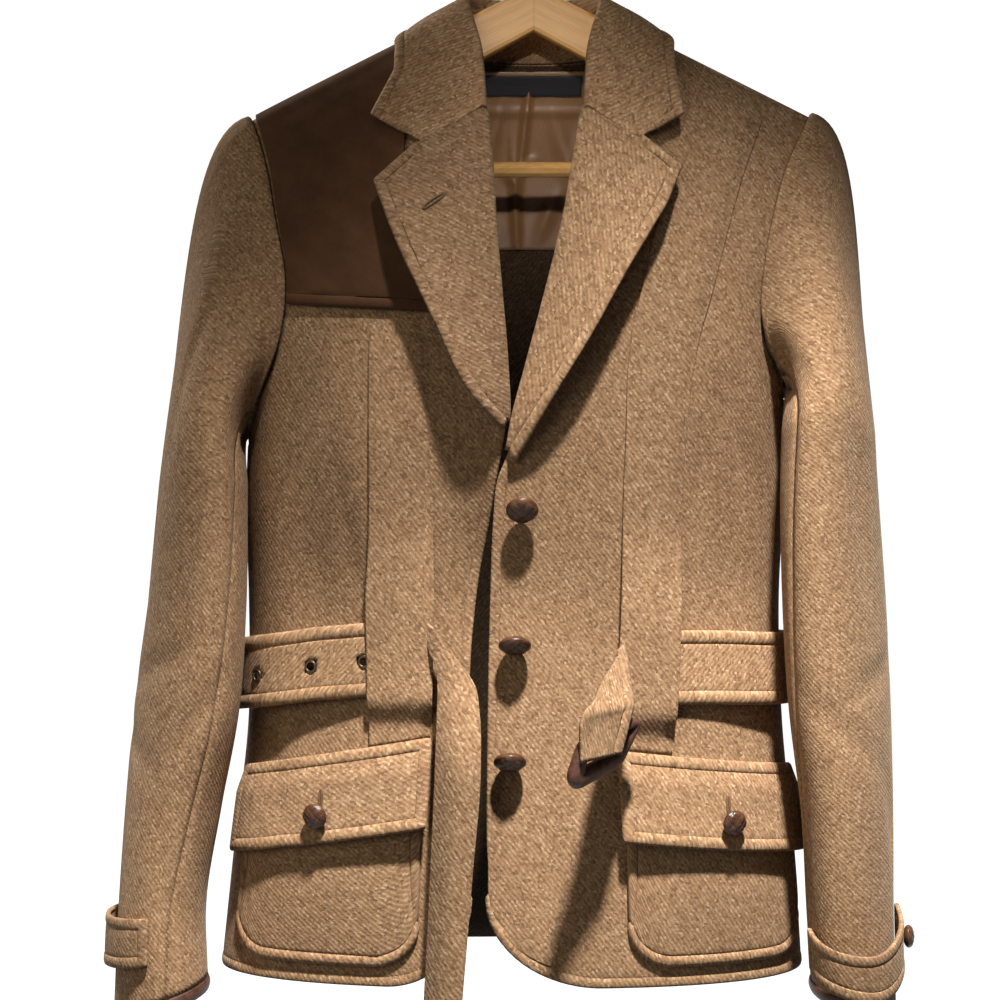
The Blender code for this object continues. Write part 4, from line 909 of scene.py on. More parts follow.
def strip_points(side):
    """Applied strip of a front, lifted where the belt passes under it."""
    top = STRIP_TOP[side]
    foot = flap_top(side, 0)
    level, part = grid(foot + (top - foot) * np.linspace(0, 1, 110), spread(STRIP_WIDTH, cell=4.0))
    low = flap_top(side, part * STRIP_WIDTH) + STRIP_FOOT
    level = low + (top - low) * (level - foot) / (top - foot)
    inner, outer = read_columns(STRIP_COLUMNS, STRIP_ROWS[side], "inner outer", level)
    x = inner + (outer - inner) * part
    under = BELT_ROWS[0][0] if side < 0 else BELT_ROWS[-1][0]
    belt = read_table(BELT_COLUMNS, BELT_ROWS, "level", under)
    below = smooth((BELT_WIDTH / 2 + STRIP_SPAN + level - belt) / STRIP_RAMP)
    above = smooth((BELT_WIDTH / 2 + STRIP_RISE + belt - level) / STRIP_RISE)
    lift = STRIP_LIFT * below * above
    from_soft = (part if STRIP_SEWN[side] == "end" else 1 - part) * STRIP_WIDTH
    melt = STRIP_MELT[side] * np.exp(-(from_soft / STRIP_MELT_WIDTH) ** 2) * (1 - lift / STRIP_LIFT)
    ending = STRIP_MELT[side] * np.exp(-((top - level) / STRIP_MELT_HEIGHT) ** 2)
    return torso_out(side, front_share(side, x, level), level, WALL + LAY + lift - melt - ending)


def flap_top(side, across):
    """Level of a flap's top edge at a distance from its inner end."""
    return FLAP_TOP[side] - FLAP_SLANT[side] * across / FLAP_WIDTH


def flap_surface(side, down, part):
    """Pocket flap, sewn along its top and standing off towards its lower edge."""
    top = flap_top(side, part * FLAP_WIDTH)
    level = top - FLAP_HEIGHT * down
    start = front_share(side, np.full(part.shape, FLAP_INNER[side]), top)
    share = start + part * FLAP_WIDTH / front_length(side, top)
    out = WALL + 2 * LAY + FLAP_STEP * np.minimum(1, down / FLAP_BEND)
    out = out + FLAP_KICK * down ** 2 * (1 - part ** 4)
    return torso_out(side, np.minimum(share, SIDE_LIMIT), level, out)


def flap_points(side):
    """Grid of a flap, from its lower edge up."""
    down, part = grid(spread(FLAP_HEIGHT, cell=3.0)[::-1], spread(FLAP_WIDTH, cell=3.5))
    return flap_surface(side, down, part)


def flap_spot(side, down):
    """Place on a flap's outer face a share of the way down, with its normal from two short steps."""
    down, part, step = np.array((down,)), np.array((FLAP_BUTTON_SHARE,)), 0.05
    spot = flap_surface(side, down, part)[0]
    across = flap_surface(side, down, part + step)[0] - spot
    up = flap_surface(side, down - step, part)[0] - spot
    normal = unit(np.cross(across, up)) * side
    return spot + normal * DOUBLE_WALL, normal


def pocket_points(side):
    """Patch pocket with rounded lower corners; its mouth is under the flap."""
    up, part = grid(spread(POCKET_HEIGHT, (True, False), 4.0), spread(POCKET_WIDTH, cell=4.0))
    across = POCKET_INSET + part * POCKET_WIDTH
    top = flap_top(side, across) - POCKET_TUCK
    level = POCKET_BOTTOM + (top - POCKET_BOTTOM) * up
    ends = np.minimum(part, 1 - part) * POCKET_WIDTH
    level = level + corner_rise(ends, POCKET_RADIUS) * (1 - up) ** 3
    start = front_share(side, np.full(part.shape, FLAP_INNER[side]), top)
    share = start + across / front_length(side, top)
    swell = POCKET_BULGE * np.sin(math.pi * part) * np.sin(math.pi * up)
    return torso_out(side, np.minimum(share, SIDE_LIMIT), level, WALL + LAY + swell)


def patch_points():
    """Shoulder patch, from the shoulder seam down to its straight lower edge."""
    up, part = grid(spread(PATCH_SIZE[1], cell=4.0), spread(PATCH_SIZE[0], cell=4.0))
    reach = PATCH_ROWS[0][1] + (PATCH_BOTTOM_OUTER - PATCH_ROWS[0][1]) * part
    low = level_of(reach, PATCH_BOTTOM + PATCH_RISE * part)
    level = low + (NECK_LEVEL - PATCH_EDGE - low) * up
    inner = front_share(RIGHT, read_table(PATCH_COLUMNS, PATCH_ROWS, "inner", level), level)
    outer = outer_share(RIGHT, level, "front") - PATCH_INSET / front_length(RIGHT, level)
    return torso_out(RIGHT, inner + (outer - inner) * part, level, WALL + PATCH_LAY)


def belt_place(around, across, out):
    """Point of the belt: around is -2 at the right front, 0 at the back and 2 at the left front."""
    side = np.where(around > 0, LEFT, RIGHT)
    level = read_table(BELT_COLUMNS, BELT_ROWS, "level", around) + across
    return torso_out(side, 2 - np.abs(around), level, out)


def belt_points():
    """Belt round the body, as far out as its table says."""
    across, around = grid((spread(BELT_WIDTH, cell=3.0) - 0.5) * BELT_WIDTH,
                          np.linspace(BELT_ROWS[0][0] + BELT_SHY, BELT_ROWS[-1][0], 340))
    return belt_place(around, across, read_table(BELT_COLUMNS, BELT_ROWS, "out", around))


def tail_points():
    """Belt's tail between two edges: out from under the strip, then down with a slight curl."""
    top, end = TAIL_ROWS[-1][0], TAIL_ROWS[0][0]
    fall = spread(top - end, (False, True), 3.0)
    level, part = grid(top + (end - top) * fall, spread(TAIL_BREADTH, cell=3.0))
    left, right = read_columns(TAIL_COLUMNS, TAIL_ROWS, "left right", level)
    x = left + (right - left) * part
    hung = TAIL_Y[0] + (TAIL_Y[1] - TAIL_Y[0]) * part - TAIL_CURL * np.sin(math.pi * part)
    tuck = TAIL_TUCK * smooth((TAIL_TUCK_X - x) / TAIL_TUCK_WIDTH)
    tuck = tuck * smooth((level - TAIL_TUCK_LEVEL) / TAIL_TUCK_HEIGHT)
    y = TAIL_START_Y + (hung - TAIL_START_Y) * smooth((top - level) / TAIL_EASE) + tuck
    return np.stack((x, y, level), axis=-1)


def buckle_end_points():
    """Short end of the belt between two smooth edges, with the ridge of its folded-back hem across it."""
    place = np.linspace(0, len(BUCKLE_ROWS) - 1, 60)
    knots = np.arange(len(BUCKLE_ROWS))
    upper, lower = (np.stack([curve_through(knots, [row[k][axis] for row in BUCKLE_ROWS], place)
                              for axis in range(3)], axis=-1)[:, None] for k in (0, 1))
    part = spread(TAIL_BREADTH, cell=3.0)[None, :, None]
    points = upper + (lower - upper) * part
    upper_fold, lower_fold = BUCKLE_FOLD_PLACE
    folded = place[:, None, None] - upper_fold + (upper_fold - lower_fold) * part
    points[..., 1] -= (BUCKLE_FOLD * np.exp(-(folded / BUCKLE_FOLD_WIDTH) ** 2))[..., 0]
    return points


def tab_points(side):
    """Cuff tab, bent round the cuff and standing off between its ends."""
    rows = TAB_ROWS[side]
    turn = rows[0][0] + (rows[-1][0] - rows[0][0]) * spread(TAB_LENGTH, cell=3.0)
    across, turn = grid((spread(TAB_WIDTH, cell=3.0) - 0.5) * TAB_WIDTH, turn)
    level, out = read_columns(TAB_COLUMNS, rows, "level out", turn)
    return sleeve_out(side, turn, level + across, out)


def lining_points():
    """Half lining, just inside the back from the neck down, with a centre pleat and drag lines."""
    level, x = grid(np.linspace(LINING_BOTTOM, LINING_TOP, 60), np.linspace(-LINING_HALF, LINING_HALF, 150))
    side = np.where(x > 0, LEFT, RIGHT)
    top = (level - LINING_BOTTOM) / (LINING_TOP - LINING_BOTTOM)
    x = x * (1 - LINING_TAPER * top ** 2)
    out = np.minimum(0, troughs(LINING_CREASES, x, level)) - LAY - LINING_WALL
    return torso_out(side, back_share(side, np.abs(x), level), level, out)


def label_points():
    """Label, a level strip on the lining."""
    width, height = LABEL_SIZE
    level, x = grid(LABEL_MIDDLE + np.linspace(-0.5, 0.5, 9) * height, np.linspace(-0.5, 0.5, 40) * width)
    side = np.where(x > 0, LEFT, RIGHT)
    return torso_out(side, back_share(side, np.abs(x), level), level, -2 * LAY - 2 * LINING_WALL)


class Socket:
    """A shader socket that can stand in Python sums."""

    def __init__(self, finish, socket):
        self.finish = finish
        self.socket = socket

    def maths(self, operation, other=0.0, turned=False):
        """A Math node of this value and another, in either order."""
        first, second = (other, self) if turned else (self, other)
        return self.finish.node("Math", {"operation": operation}, {0: first, 1: second})

    def __add__(self, other):
        return self.maths("ADD", other)

    def __sub__(self, other):
        return self.maths("SUBTRACT", other)

    def __rsub__(self, other):
        return self.maths("SUBTRACT", other, True)

    def __mul__(self, other):
        return self.maths("MULTIPLY", other)

    def __truediv__(self, other):
        return self.maths("DIVIDE", other)

    __radd__ = __add__
    __rmul__ = __mul__


class Finish:
    """A material with one Principled shader, and a way to add any node to it."""

    def __init__(self, name, **settings):
        self.material = bpy.data.materials.new(name)
        self.material.use_nodes = True
        self.tree = self.material.node_tree
        self.shader = self.tree.nodes["Principled BSDF"]
        for key, value in settings.items():
            self.shader.inputs[key.replace("_", " ")].default_value = value

    def node(self, kind, settings, sockets, output=0):
        """Any node: its settings come first, then the values or links of its sockets."""
        item = self.tree.nodes.new(f"ShaderNode{kind}")
        for key, value in settings.items():
            if key == "stops":
                self.set_stops(item.color_ramp.elements, value)
            else:
                setattr(item, key, value)
        for key, value in sockets.items():
            if isinstance(value, Socket):
                self.tree.links.new(value.socket, item.inputs[key])
            else:
                item.inputs[key].default_value = value
        return Socket(self, item.outputs[output])

    @staticmethod
    def set_stops(elements, stops):
        """Places and colours of a ramp."""
        while len(elements) < len(stops):
            elements.new(1.0)
        for element, (place, colour) in zip(elements, stops):
            element.position = place
            element.color = (*colour, 1.0)

    def shade(self, **links):
        """Link values to the shader's sockets of these names."""
        for key, value in links.items():
            self.tree.links.new(value.socket, self.shader.inputs[key.replace("_", " ")])

    def cloth_place(self):
        """Place on the piece's own flat cloth."""
        return self.node("UVMap", {"uv_map": "cloth"}, {})

    def object_place(self):
        """Place in the part's own frame."""
        return self.node("TexCoord", {}, {}, 3)

    def mix(self, share, first, second, blend="MIX"):
        """Mix of two colours by a share."""
        return self.node("Mix", {"data_type": "RGBA", "blend_type": blend},
                         {0: share, 6: first, 7: second}, 2)

    def noise(self, place, scale, detail=2.0, rough=0.5):
        """Cloudy value between 0 and 1."""
        return self.node("TexNoise", {}, {
            "Vector": place, "Scale": scale, "Detail": detail, "Roughness": rough})

    def ramp(self, value, stops):
        """Colour of a value on a ramp."""
        return self.node("ValToRGB", {"stops": stops}, {0: value})

    def bump(self, height, strength, distance):
        """Relief of the surface by a height."""
        self.shade(Normal=self.node("Bump", {}, {
            "Height": height, "Strength": strength, "Distance": distance}))


# Tweed: spacing of the twill's ridges and size of a yarn's float, in metres
RIDGE = 0.0027
FLOAT_WIDTH = 0.00135
FLOAT_LENGTH = 0.0020
YARN_STOPS = (
    (0.0, (0.165, 0.090, 0.046)),
    (0.15, (0.245, 0.140, 0.072)),
    (0.5, (0.330, 0.196, 0.104)),
    (0.85, (0.385, 0.238, 0.132)),
    (0.98, (0.485, 0.330, 0.20)),
)
# Painted shade mixed into the twill's grooves between its ridges
TWILL_GROOVE_SHADE = (0.155, 0.084, 0.040, 1.0)
# Painted shade along the stitched groove beside sewn edges
STITCHED_GROOVE_SHADE = (0.11, 0.058, 0.027, 1.0)


def stitched_groove_shade_mask(finish):
    """One on the stitched groove beside a sewn edge, falling to nothing within a millimetre: the mask of
    the groove's painted shade.
    """
    edge = finish.node("Attribute", {"attribute_name": "edge_mm"}, {}, 2)
    return 1 - ((edge - GROOVE_PLACE).maths("ABSOLUTE") * 0.7).maths("MINIMUM", 1.0)


def tweed(name, angle, painted_light=1.0):
    """Twill tweed: sine ridges across a turned UV, yarn floats as stretched cells of mixed browns, painted
    shade in its grooves and stitched groove, and painted light and shade over a whole piece.
    """
    finish = Finish(name, Roughness=0.95, Sheen_Weight=0.1, Sheen_Roughness=0.5,
                    Sheen_Tint=(0.95, 0.78, 0.58, 1.0), Specular_IOR_Level=0.15)
    place = finish.cloth_place()
    turned = finish.node("Mapping", {}, {"Vector": place, "Rotation": (0, 0, math.radians(angle))})
    across = finish.node("SeparateXYZ", {}, {0: turned}, 0)
    along = finish.node("SeparateXYZ", {}, {0: turned}, 1)
    sway = finish.noise(turned, 260.0, 2.0) - 0.5
    ridge_place = across / RIDGE + sway * 0.45
    ridge = (ridge_place * (2 * math.pi)).maths("SINE") * 0.5 + 0.5
    stepped = along / FLOAT_LENGTH + ridge_place.maths("FLOOR") * 0.37
    cell_place = finish.node("CombineXYZ", {}, {0: ridge_place * (RIDGE / FLOAT_WIDTH), 1: stepped})
    cells = {"voronoi_dimensions": "2D"}
    random = finish.node("TexVoronoi", cells, {"Vector": cell_place, "Scale": 1.0}, 1)
    value = finish.node("SeparateColor", {}, {0: random}, 0)
    round_off = finish.node("TexVoronoi", cells, {"Vector": cell_place, "Scale": 1.0}, 0)
    yarn = finish.ramp(value, YARN_STOPS)
    # Painted shade in the grooves between the ridges
    groove = finish.mix(ridge * 0.45 + 0.55, TWILL_GROOVE_SHADE, yarn)
    fuzz = finish.noise(place, 800.0, 3.0, 0.7)
    # Tone: random cloudy tone and fuzz, times the painted light and shade of the whole piece
    tone_and_painted_light = (finish.noise(place, 9.0, 3.0) * 0.3 + 0.85) * (fuzz * 0.9 + 0.55) * painted_light
    grey = finish.node("CombineColor", {}, {0: tone_and_painted_light, 1: tone_and_painted_light, 2: tone_and_painted_light})
    toned = finish.mix(1.0, groove, grey, "MULTIPLY")
    # The stitched groove beside sewn edges gets painted shade
    finish.shade(Base_Color=finish.mix(stitched_groove_shade_mask(finish) * 0.36, toned, STITCHED_GROOVE_SHADE))
    finish.bump(ridge * 0.35 + (1 - round_off) * 0.3 + fuzz * 0.5, 0.5, 0.0006)
    return finish.material


def suede():
    """Brushed suede: dark brown with soft light and dark brushing and a fine nap."""
    finish = Finish("brushed_suede", Roughness=1.0, Sheen_Weight=0.18, Sheen_Roughness=0.5,
                    Sheen_Tint=(0.55, 0.34, 0.22, 1.0), Specular_IOR_Level=0.1)
    place = finish.cloth_place()
    brushed = finish.noise(place, 26.0, 4.0, 0.6)
    nap = finish.noise(place, 900.0, 2.0)
    colour = finish.ramp(brushed * 0.75 + nap * 0.25, (
        (0.3, (0.050, 0.0215, 0.0098)), (0.7, (0.104, 0.049, 0.024))))
    # The suede's stitched groove gets near-black painted shade
    finish.shade(Base_Color=finish.mix(stitched_groove_shade_mask(finish) * 0.7, colour, (0.012, 0.006, 0.003, 1.0)))
    finish.bump(nap * 0.4 + brushed * 0.6, 0.35, 0.0008)
    return finish.material


def satin():
    """Satin lining: brown with a soft gloss and fine close threads."""
    finish = Finish("satin_lining", Sheen_Weight=0.2, Specular_IOR_Level=0.5)
    place = finish.cloth_place()
    drawn = finish.node("Mapping", {}, {"Vector": place, "Scale": (1.0, 0.12, 1.0)})
    thread = finish.noise(drawn, 1500.0)
    cloudy = finish.noise(place, 18.0, 3.0)
    finish.shade(Base_Color=finish.ramp(cloudy * 0.7 + thread * 0.3, (
        (0.3, (0.205, 0.096, 0.036)), (0.7, (0.36, 0.182, 0.074)))), Roughness=thread * 0.15 + 0.34)
    finish.bump(thread, 0.12, 0.0004)
    return finish.material


def label_weave():
    """Bare woven label: near-black navy with close ribs."""
    finish = Finish("label_weave", Roughness=0.7, Sheen_Weight=0.2)
    place = finish.cloth_place()
    height = finish.node("SeparateXYZ", {}, {0: place}, 1)
    rib = (height * (2 * math.pi / 0.0009)).maths("SINE") * 0.5 + 0.5
    finish.shade(Base_Color=finish.ramp(rib * 0.6 + finish.noise(place, 400.0) * 0.4, (
        (0.2, (0.0026, 0.002, 0.004)), (0.8, (0.008, 0.0065, 0.012)))))
    finish.bump(rib, 0.3, 0.0003)
    return finish.material


def leather(name, dark, light, rough, scale):
    """Smooth leather: grain as small cells, worn lighter in patches."""
    finish = Finish(name, Specular_IOR_Level=0.25)
    place = finish.object_place()
    grain = finish.node("TexVoronoi", {}, {"Vector": place, "Scale": scale}, 0)
    worn = finish.noise(place, 120.0, 4.0, 0.6)
    finish.shade(Base_Color=finish.ramp(worn * 0.8 + grain * 0.2, ((0.35, dark), (0.72, light))),
                 Roughness=worn * 0.25 + (rough - 0.1))
    finish.bump(grain * 0.6 + worn * 0.4, 0.25, 0.0006)
    return finish.material


def wood(name, joined):
    """Pale hanger wood: grain lines that follow each arm's slope, mirrored at the middle joint."""
    finish = Finish(name, Specular_IOR_Level=0.3, Coat_Weight=0.05, Coat_Roughness=0.3)
    place = finish.object_place()
    x, y, z = (finish.node("SeparateXYZ", {}, {0: place}, k) for k in range(3))
    arm = x.maths("ABSOLUTE")
    across = z + arm * SHOULDER_SLOPE
    stretched = finish.node("CombineXYZ", {}, {0: arm * 0.09, 1: y, 2: across})
    wide = finish.noise(stretched, 160.0, 3.0)
    line = finish.noise(stretched, 700.0, 3.0, 0.65)
    joint = 1 - (arm * 2200.0).maths("MINIMUM", 1.0)
    colour = finish.ramp(wide * 0.6 + line * 0.4, (
        (0.3, (0.62, 0.305, 0.085)), (0.52, (0.80, 0.43, 0.13)), (0.75, (0.87, 0.505, 0.17))))
    finish.shade(Base_Color=finish.mix(joint * joined, colour, (0.25, 0.13, 0.055, 1.0)),
                 Roughness=line * 0.2 + 0.32)
    finish.bump(line, 0.12, 0.0004)
    return finish.material


def metal(name, colour, rough):
    """Polished wire: fine drawn streaks in its gloss."""
    finish = Finish(name, Metallic=1.0)
    place = finish.object_place()
    streak = finish.noise(place, 900.0, 2.0)
    finish.shade(Base_Color=finish.ramp(streak, ((0.3, tuple(0.8 * c for c in colour)), (0.7, colour))),
                 Roughness=streak * 0.2 + rough)
    return finish.material


# Fall of the twill below level, towards the right as each piece is seen from outside
TWILL_FALLS = {
    "front": 52, "back": 52, "lapel_right": 27, "lapel_left": 86, "collar": -24,
    "sleeve_right": 46, "sleeve_left": 39, "cuff_tab": 48, "strip": 54,
    "pocket_right": 38, "pocket_left": 56, "flap_right": 36, "flap_left": 60, "belt": -45, "tail": 60,
}
# Painted light and shade: whole pieces made lighter or darker to stand in for how brightly they are lit
PAINTED_LIGHT_AND_SHADE = {"belt": 1.15, "tail": 0.88, "lapel_right": 0.76}
FINISH = {key: tweed(f"tweed_{key}", fall - 90, PAINTED_LIGHT_AND_SHADE.get(key, 1.0)) for key, fall in TWILL_FALLS.items()}
# Inner face of the fronts and back: the tweed darkened to about a fifth, as painted shade
FINISH["inside"] = tweed("tweed_inside_painted_shade", -38, 0.22)
FINISH["suede"] = suede()
FINISH["satin"] = satin()
FINISH["label"] = label_weave()
FINISH["binding"] = leather("binding_leather", (0.035, 0.013, 0.008), (0.10, 0.042, 0.025), 0.5, 900.0)
FINISH["buckle"] = leather("buckle_leather", (0.035, 0.013, 0.009), (0.11, 0.045, 0.03), 0.42, 900.0)
FINISH["knot"] = leather("knot_leather", (0.032, 0.012, 0.006), (0.115, 0.050, 0.024), 0.33, 1100.0)
# Buttonhole cord: brown cord darkened so that it also stands for the painted shade of the slit it rings
FINISH["cord"] = leather("buttonhole_cord", (0.09, 0.048, 0.022), (0.17, 0.098, 0.048), 0.85, 1500.0)
FINISH["arms"] = wood("hanger_wood", 0.5)
FINISH["bar"] = wood("bar_wood", 0.0)
FINISH["steel"] = metal("hook_wire", (0.78, 0.78, 0.80), 0.18)
FINISH["eyelet"] = metal("eyelet_metal", (0.10, 0.075, 0.055), 0.35)


def add_mesh(name, points, faces, uv=None, edge=None):
    """Mesh of points in millimetres, with a UV map in metres and the distance from a sewn edge."""
    mesh = bpy.data.meshes.new(name)
    mesh.from_pydata((points * MM).tolist(), [], faces.tolist())
    if uv is not None:
        corners = np.empty(len(mesh.loops), int)
        mesh.loops.foreach_get("vertex_index", corners)
        layer = mesh.uv_layers.new(name="cloth")
        layer.data.foreach_set("uv", (uv[corners] * MM).ravel())
    if edge is not None:
        store = mesh.attributes.new("edge_mm", "FLOAT", "POINT")
        store.data.foreach_set("value", edge.ravel().astype(np.float32))
    mesh.shade_smooth()
    item = bpy.data.objects.new(name, mesh)
    bpy.context.scene.collection.objects.link(item)
    return item


def grid_faces(rows, columns, flip=False, wrap=False, loop=False):
    """Four corners of every cell of a grid; it may close on itself across (wrap) and along (loop)."""
    i, j = grid(np.arange(rows if loop else rows - 1), np.arange(columns if wrap else columns - 1))
    here, after = i * columns, (i + 1) % rows * columns
    k = (j + 1) % columns
    faces = np.stack((here + j, here + k, after + k, after + j), axis=-1).reshape(-1, 4)
    return faces[:, ::-1] if flip else faces


def finish_piece(item, finish, slot, *nodes):
    """Give a piece its material and its body, and hide the nodes that it stands for; its slot is not used.
    """
    item.data.materials.append(FINISH[finish])
    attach(item, "root")
    if nodes:
        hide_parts(*nodes)
    return item


def grid_area(points):
    """Area of a grid's cells, half the cross product of their diagonals, in square metres."""
    first = points[1:, 1:] - points[:-1, :-1]
    second = points[1:, :-1] - points[:-1, 1:]
    return np.linalg.norm(np.cross(first, second), axis=-1).sum() / 2 * MM * MM


def thicken(item, wall):
    """Wall of a shell, laid on outwards."""
    solid = item.modifiers.new("wall", "SOLIDIFY")
    solid.thickness = wall * MM
    solid.offset = 1.0
    return solid


def cloth(node, points, finish, slot, wall=WALL, flip=False, rims=(),
          keep=None, place=None, first=0, inside=None, rim=1.0):
    """A shell of cloth on a node's form: raised rims, thickness outwards, and the sheet it was cut from."""
    distance = edge_distance(points, rims, first) if rims else None
    if rims:
        points = points + grid_normals(points, flip) * rim * rim_height(distance)[..., None]
    across, along = lengths(points, 1), lengths(points, 0)
    rightwards = across - across[:, across.shape[1] // 2][:, None]
    uv = np.stack((rightwards, along), axis=-1) if place is None else place
    uv = uv.reshape(-1, 2) * ((-1, 1) if flip else (1, 1))
    faces = grid_faces(*points.shape[:2], flip)
    if keep is not None:
        faces = faces[keep(points.reshape(-1, 3)[faces].mean(axis=1))]
    item = add_mesh(f"{node}_cloth", points.reshape(-1, 3), faces, uv, distance)
    solid = thicken(item, wall)
    finish_piece(item, finish, slot, node)
    # The inner face can take a second finish; the fronts and back get painted shade there
    if inside:
        item.data.materials.append(FINISH[inside])
        solid.material_offset = 1
    size = (float(across.max()) * MM, float(along.max()) * MM)
    area = min(float(grid_area(points)), size[0] * size[1])
    return item


def basis(normal):
    """Two directions at right angles to a normal, the first one level."""
    normal = unit(np.asarray(normal, float))
    level = unit(np.cross(np.array((0.0, 0.0, 1.0)), normal))
    return level, np.cross(normal, level), normal


def knot_button(node, point, normal, size, droop=0.0, shank=0.0):
    """Woven leather knot on a shank: a flattened ball raised in crossing strips like a small basket."""
    width, height = size
    normal = unit(np.asarray(normal))
    level, up, out = basis(normal - np.array((0.0, 0.0, droop)))
    rows, columns = KNOT_GRID
    lat, lon = grid(np.linspace(-math.pi / 2, math.pi / 2, rows),
                    np.linspace(0, 2 * math.pi, columns + 1)[:-1])
    x, y, z = np.cos(lat) * np.cos(lon), np.cos(lat) * np.sin(lon), np.sin(lat)
    p, q = KNOT_STRIPS * (x + y), KNOT_STRIPS * (x - y)
    column, row = np.floor(p + 0.5), np.floor(q + 0.5)
    along, across = p - column, q - row
    first = (column + row) % 2 == 0
    over = np.where(first, across, along)
    lengthways = np.where(first, along, across)
    strip = np.sqrt(np.clip(KNOT_EDGE * np.cos(math.pi * over), 0, 1))
    strip = strip * (1 - KNOT_DIP + KNOT_DIP * np.cos(math.pi * lengthways))
    swell = 1 - KNOT_DEPTH * (1 - strip) * np.sqrt(np.clip(z, 0, 1))
    middle = point + normal * (shank + height / 2 + SEAM) - np.array((0.0, 0.0, BUTTON_SAG * droop))
    wide, high = swell[..., None] * width / 2, swell[..., None] * height / 2
    ball = middle + wide * (x[..., None] * level + y[..., None] * up) + high * z[..., None] * out
    item = add_mesh(f"{node}_knot", ball.reshape(-1, 3), grid_faces(rows, columns, wrap=True))
    return finish_piece(item, "knot", "button_leather", node)


def tube(path, radius, depth, sides=18):
    """Profile carried along a closed path: an ellipse square to the path at each of its points."""
    ahead = unit(np.roll(path, -1, axis=0) - np.roll(path, 1, axis=0))
    flat = unit(np.cross(path - path.mean(axis=0), ahead))
    other = np.cross(ahead, flat)
    turn = np.linspace(0, 2 * math.pi, sides + 1)[None, :-1, None]
    return path[:, None] + depth * flat[:, None] * np.cos(turn) + radius * other[:, None] * np.sin(turn)


def add_rings(name, paths, radius, depth, finish, slot, *nodes):
    """One mesh of closed tubes along several paths."""
    tubes = [tube(path, radius, depth) for path in paths]
    counts = np.concatenate(((0,), np.cumsum([t.shape[0] * t.shape[1] for t in tubes])))
    faces = np.concatenate([grid_faces(*t.shape[:2], wrap=True, loop=True) + start
                            for t, start in zip(tubes, counts)])
    item = add_mesh(name, np.concatenate([t.reshape(-1, 3) for t in tubes]), faces)
    return finish_piece(item, finish, slot, *nodes)


def circle(middle, normal, radius, count=28):
    """Circle on the plane of a normal."""
    level, up, _ = basis(normal)
    turn = np.linspace(0, 2 * math.pi, count + 1)[:-1, None]
    return np.asarray(middle) + radius * (level * np.cos(turn) + up * np.sin(turn))


def oval(middle, normal, length, width, angle=0.0, count=48):
    """Stadium-like loop: a circle squeezed to a long oval, turned on its surface."""
    level, up, _ = basis(normal)
    lengthways = level * math.cos(angle) + up * math.sin(angle)
    sideways = up * math.cos(angle) - level * math.sin(angle)
    turn = np.linspace(0, 2 * math.pi, count + 1)[:-1, None]
    squared = np.sign(np.cos(turn)) * np.abs(np.cos(turn)) ** 0.6
    return np.asarray(middle) + length / 2 * lengthways * squared + width / 2 * sideways * np.sin(turn)


def rounded_loop(corners, radius, count=10):
    """Closed path through corners, each cut by a quadratic curve."""
    corners = np.asarray(corners, float)
    before = corners + unit(np.roll(corners, 1, axis=0) - corners) * radius
    after = corners + unit(np.roll(corners, -1, axis=0) - corners) * radius
    t = np.linspace(0, 1, count)[None, :, None]
    bends = (1 - t) ** 2 * before[:, None] + 2 * t * (1 - t) * corners[:, None] + t * t * after[:, None]
    return bends.reshape(-1, 3)


def eyelet_places():
    """Middle and normal of each eyelet on the belt's outer face."""
    around = np.array([spot[0] for spot in EYELET_SPOTS])
    level = np.array([spot[1] for spot in EYELET_SPOTS], float)
    across = level - read_table(BELT_COLUMNS, BELT_ROWS, "level", around)
    out = read_table(BELT_COLUMNS, BELT_ROWS, "out", around) + BELT_WALL
    face = belt_place(around, across, out)
    return face, unit(belt_place(around, across, out + 1) - face)


def away_from_eyelets(places):
    """True for cells clear of the eyelets' holes."""
    spots, _ = eyelet_places()
    gaps = np.linalg.norm(places[:, None] - spots[None], axis=-1)
    return gaps.min(axis=1) > EYELET_RADIUS + BELT_WALL


def dress_body():
    """Fronts, back, lapels, collar, lining and label."""
    for side, name in NAMES.items():
        turned = side < 0
        panel, place = front_points(side)
        cloth(f"front_{name}", panel, "front", "tweed", flip=turned, rims=("start", "foot"), place=place,
              inside="inside", rim=0.5)
        lapel = lapel_points(side)
        cloth(f"lapel_{name}", lapel, f"lapel_{name}", "tweed", LAPEL_WALL, turned, ("end", "head"),
              place=lapel[..., ::2] * (side, 1),
              first=int(lapel.shape[1] * LAPEL_RIM_FROM))
    cloth("back", back_points(), "back", "tweed", flip=True, inside="inside")
    collar = collar_points()
    across = collar[..., 0] + COLLAR_WRAP * np.tanh(collar[..., 0] / COLLAR_WRAP_FADE) * collar[..., 1]
    cloth("collar", collar, "collar", "tweed", flip=True, rims=("end", "foot", "head"),
          place=np.stack((-across, collar[..., 2]), axis=-1),
          first=int(collar.shape[1] * COLLAR_RIM_FROM))
    cloth("lining", lining_points(), "satin", "satin_lining", LINING_WALL, True)
    cloth("label", label_points(), "label", "label_cloth", LINING_WALL, True)


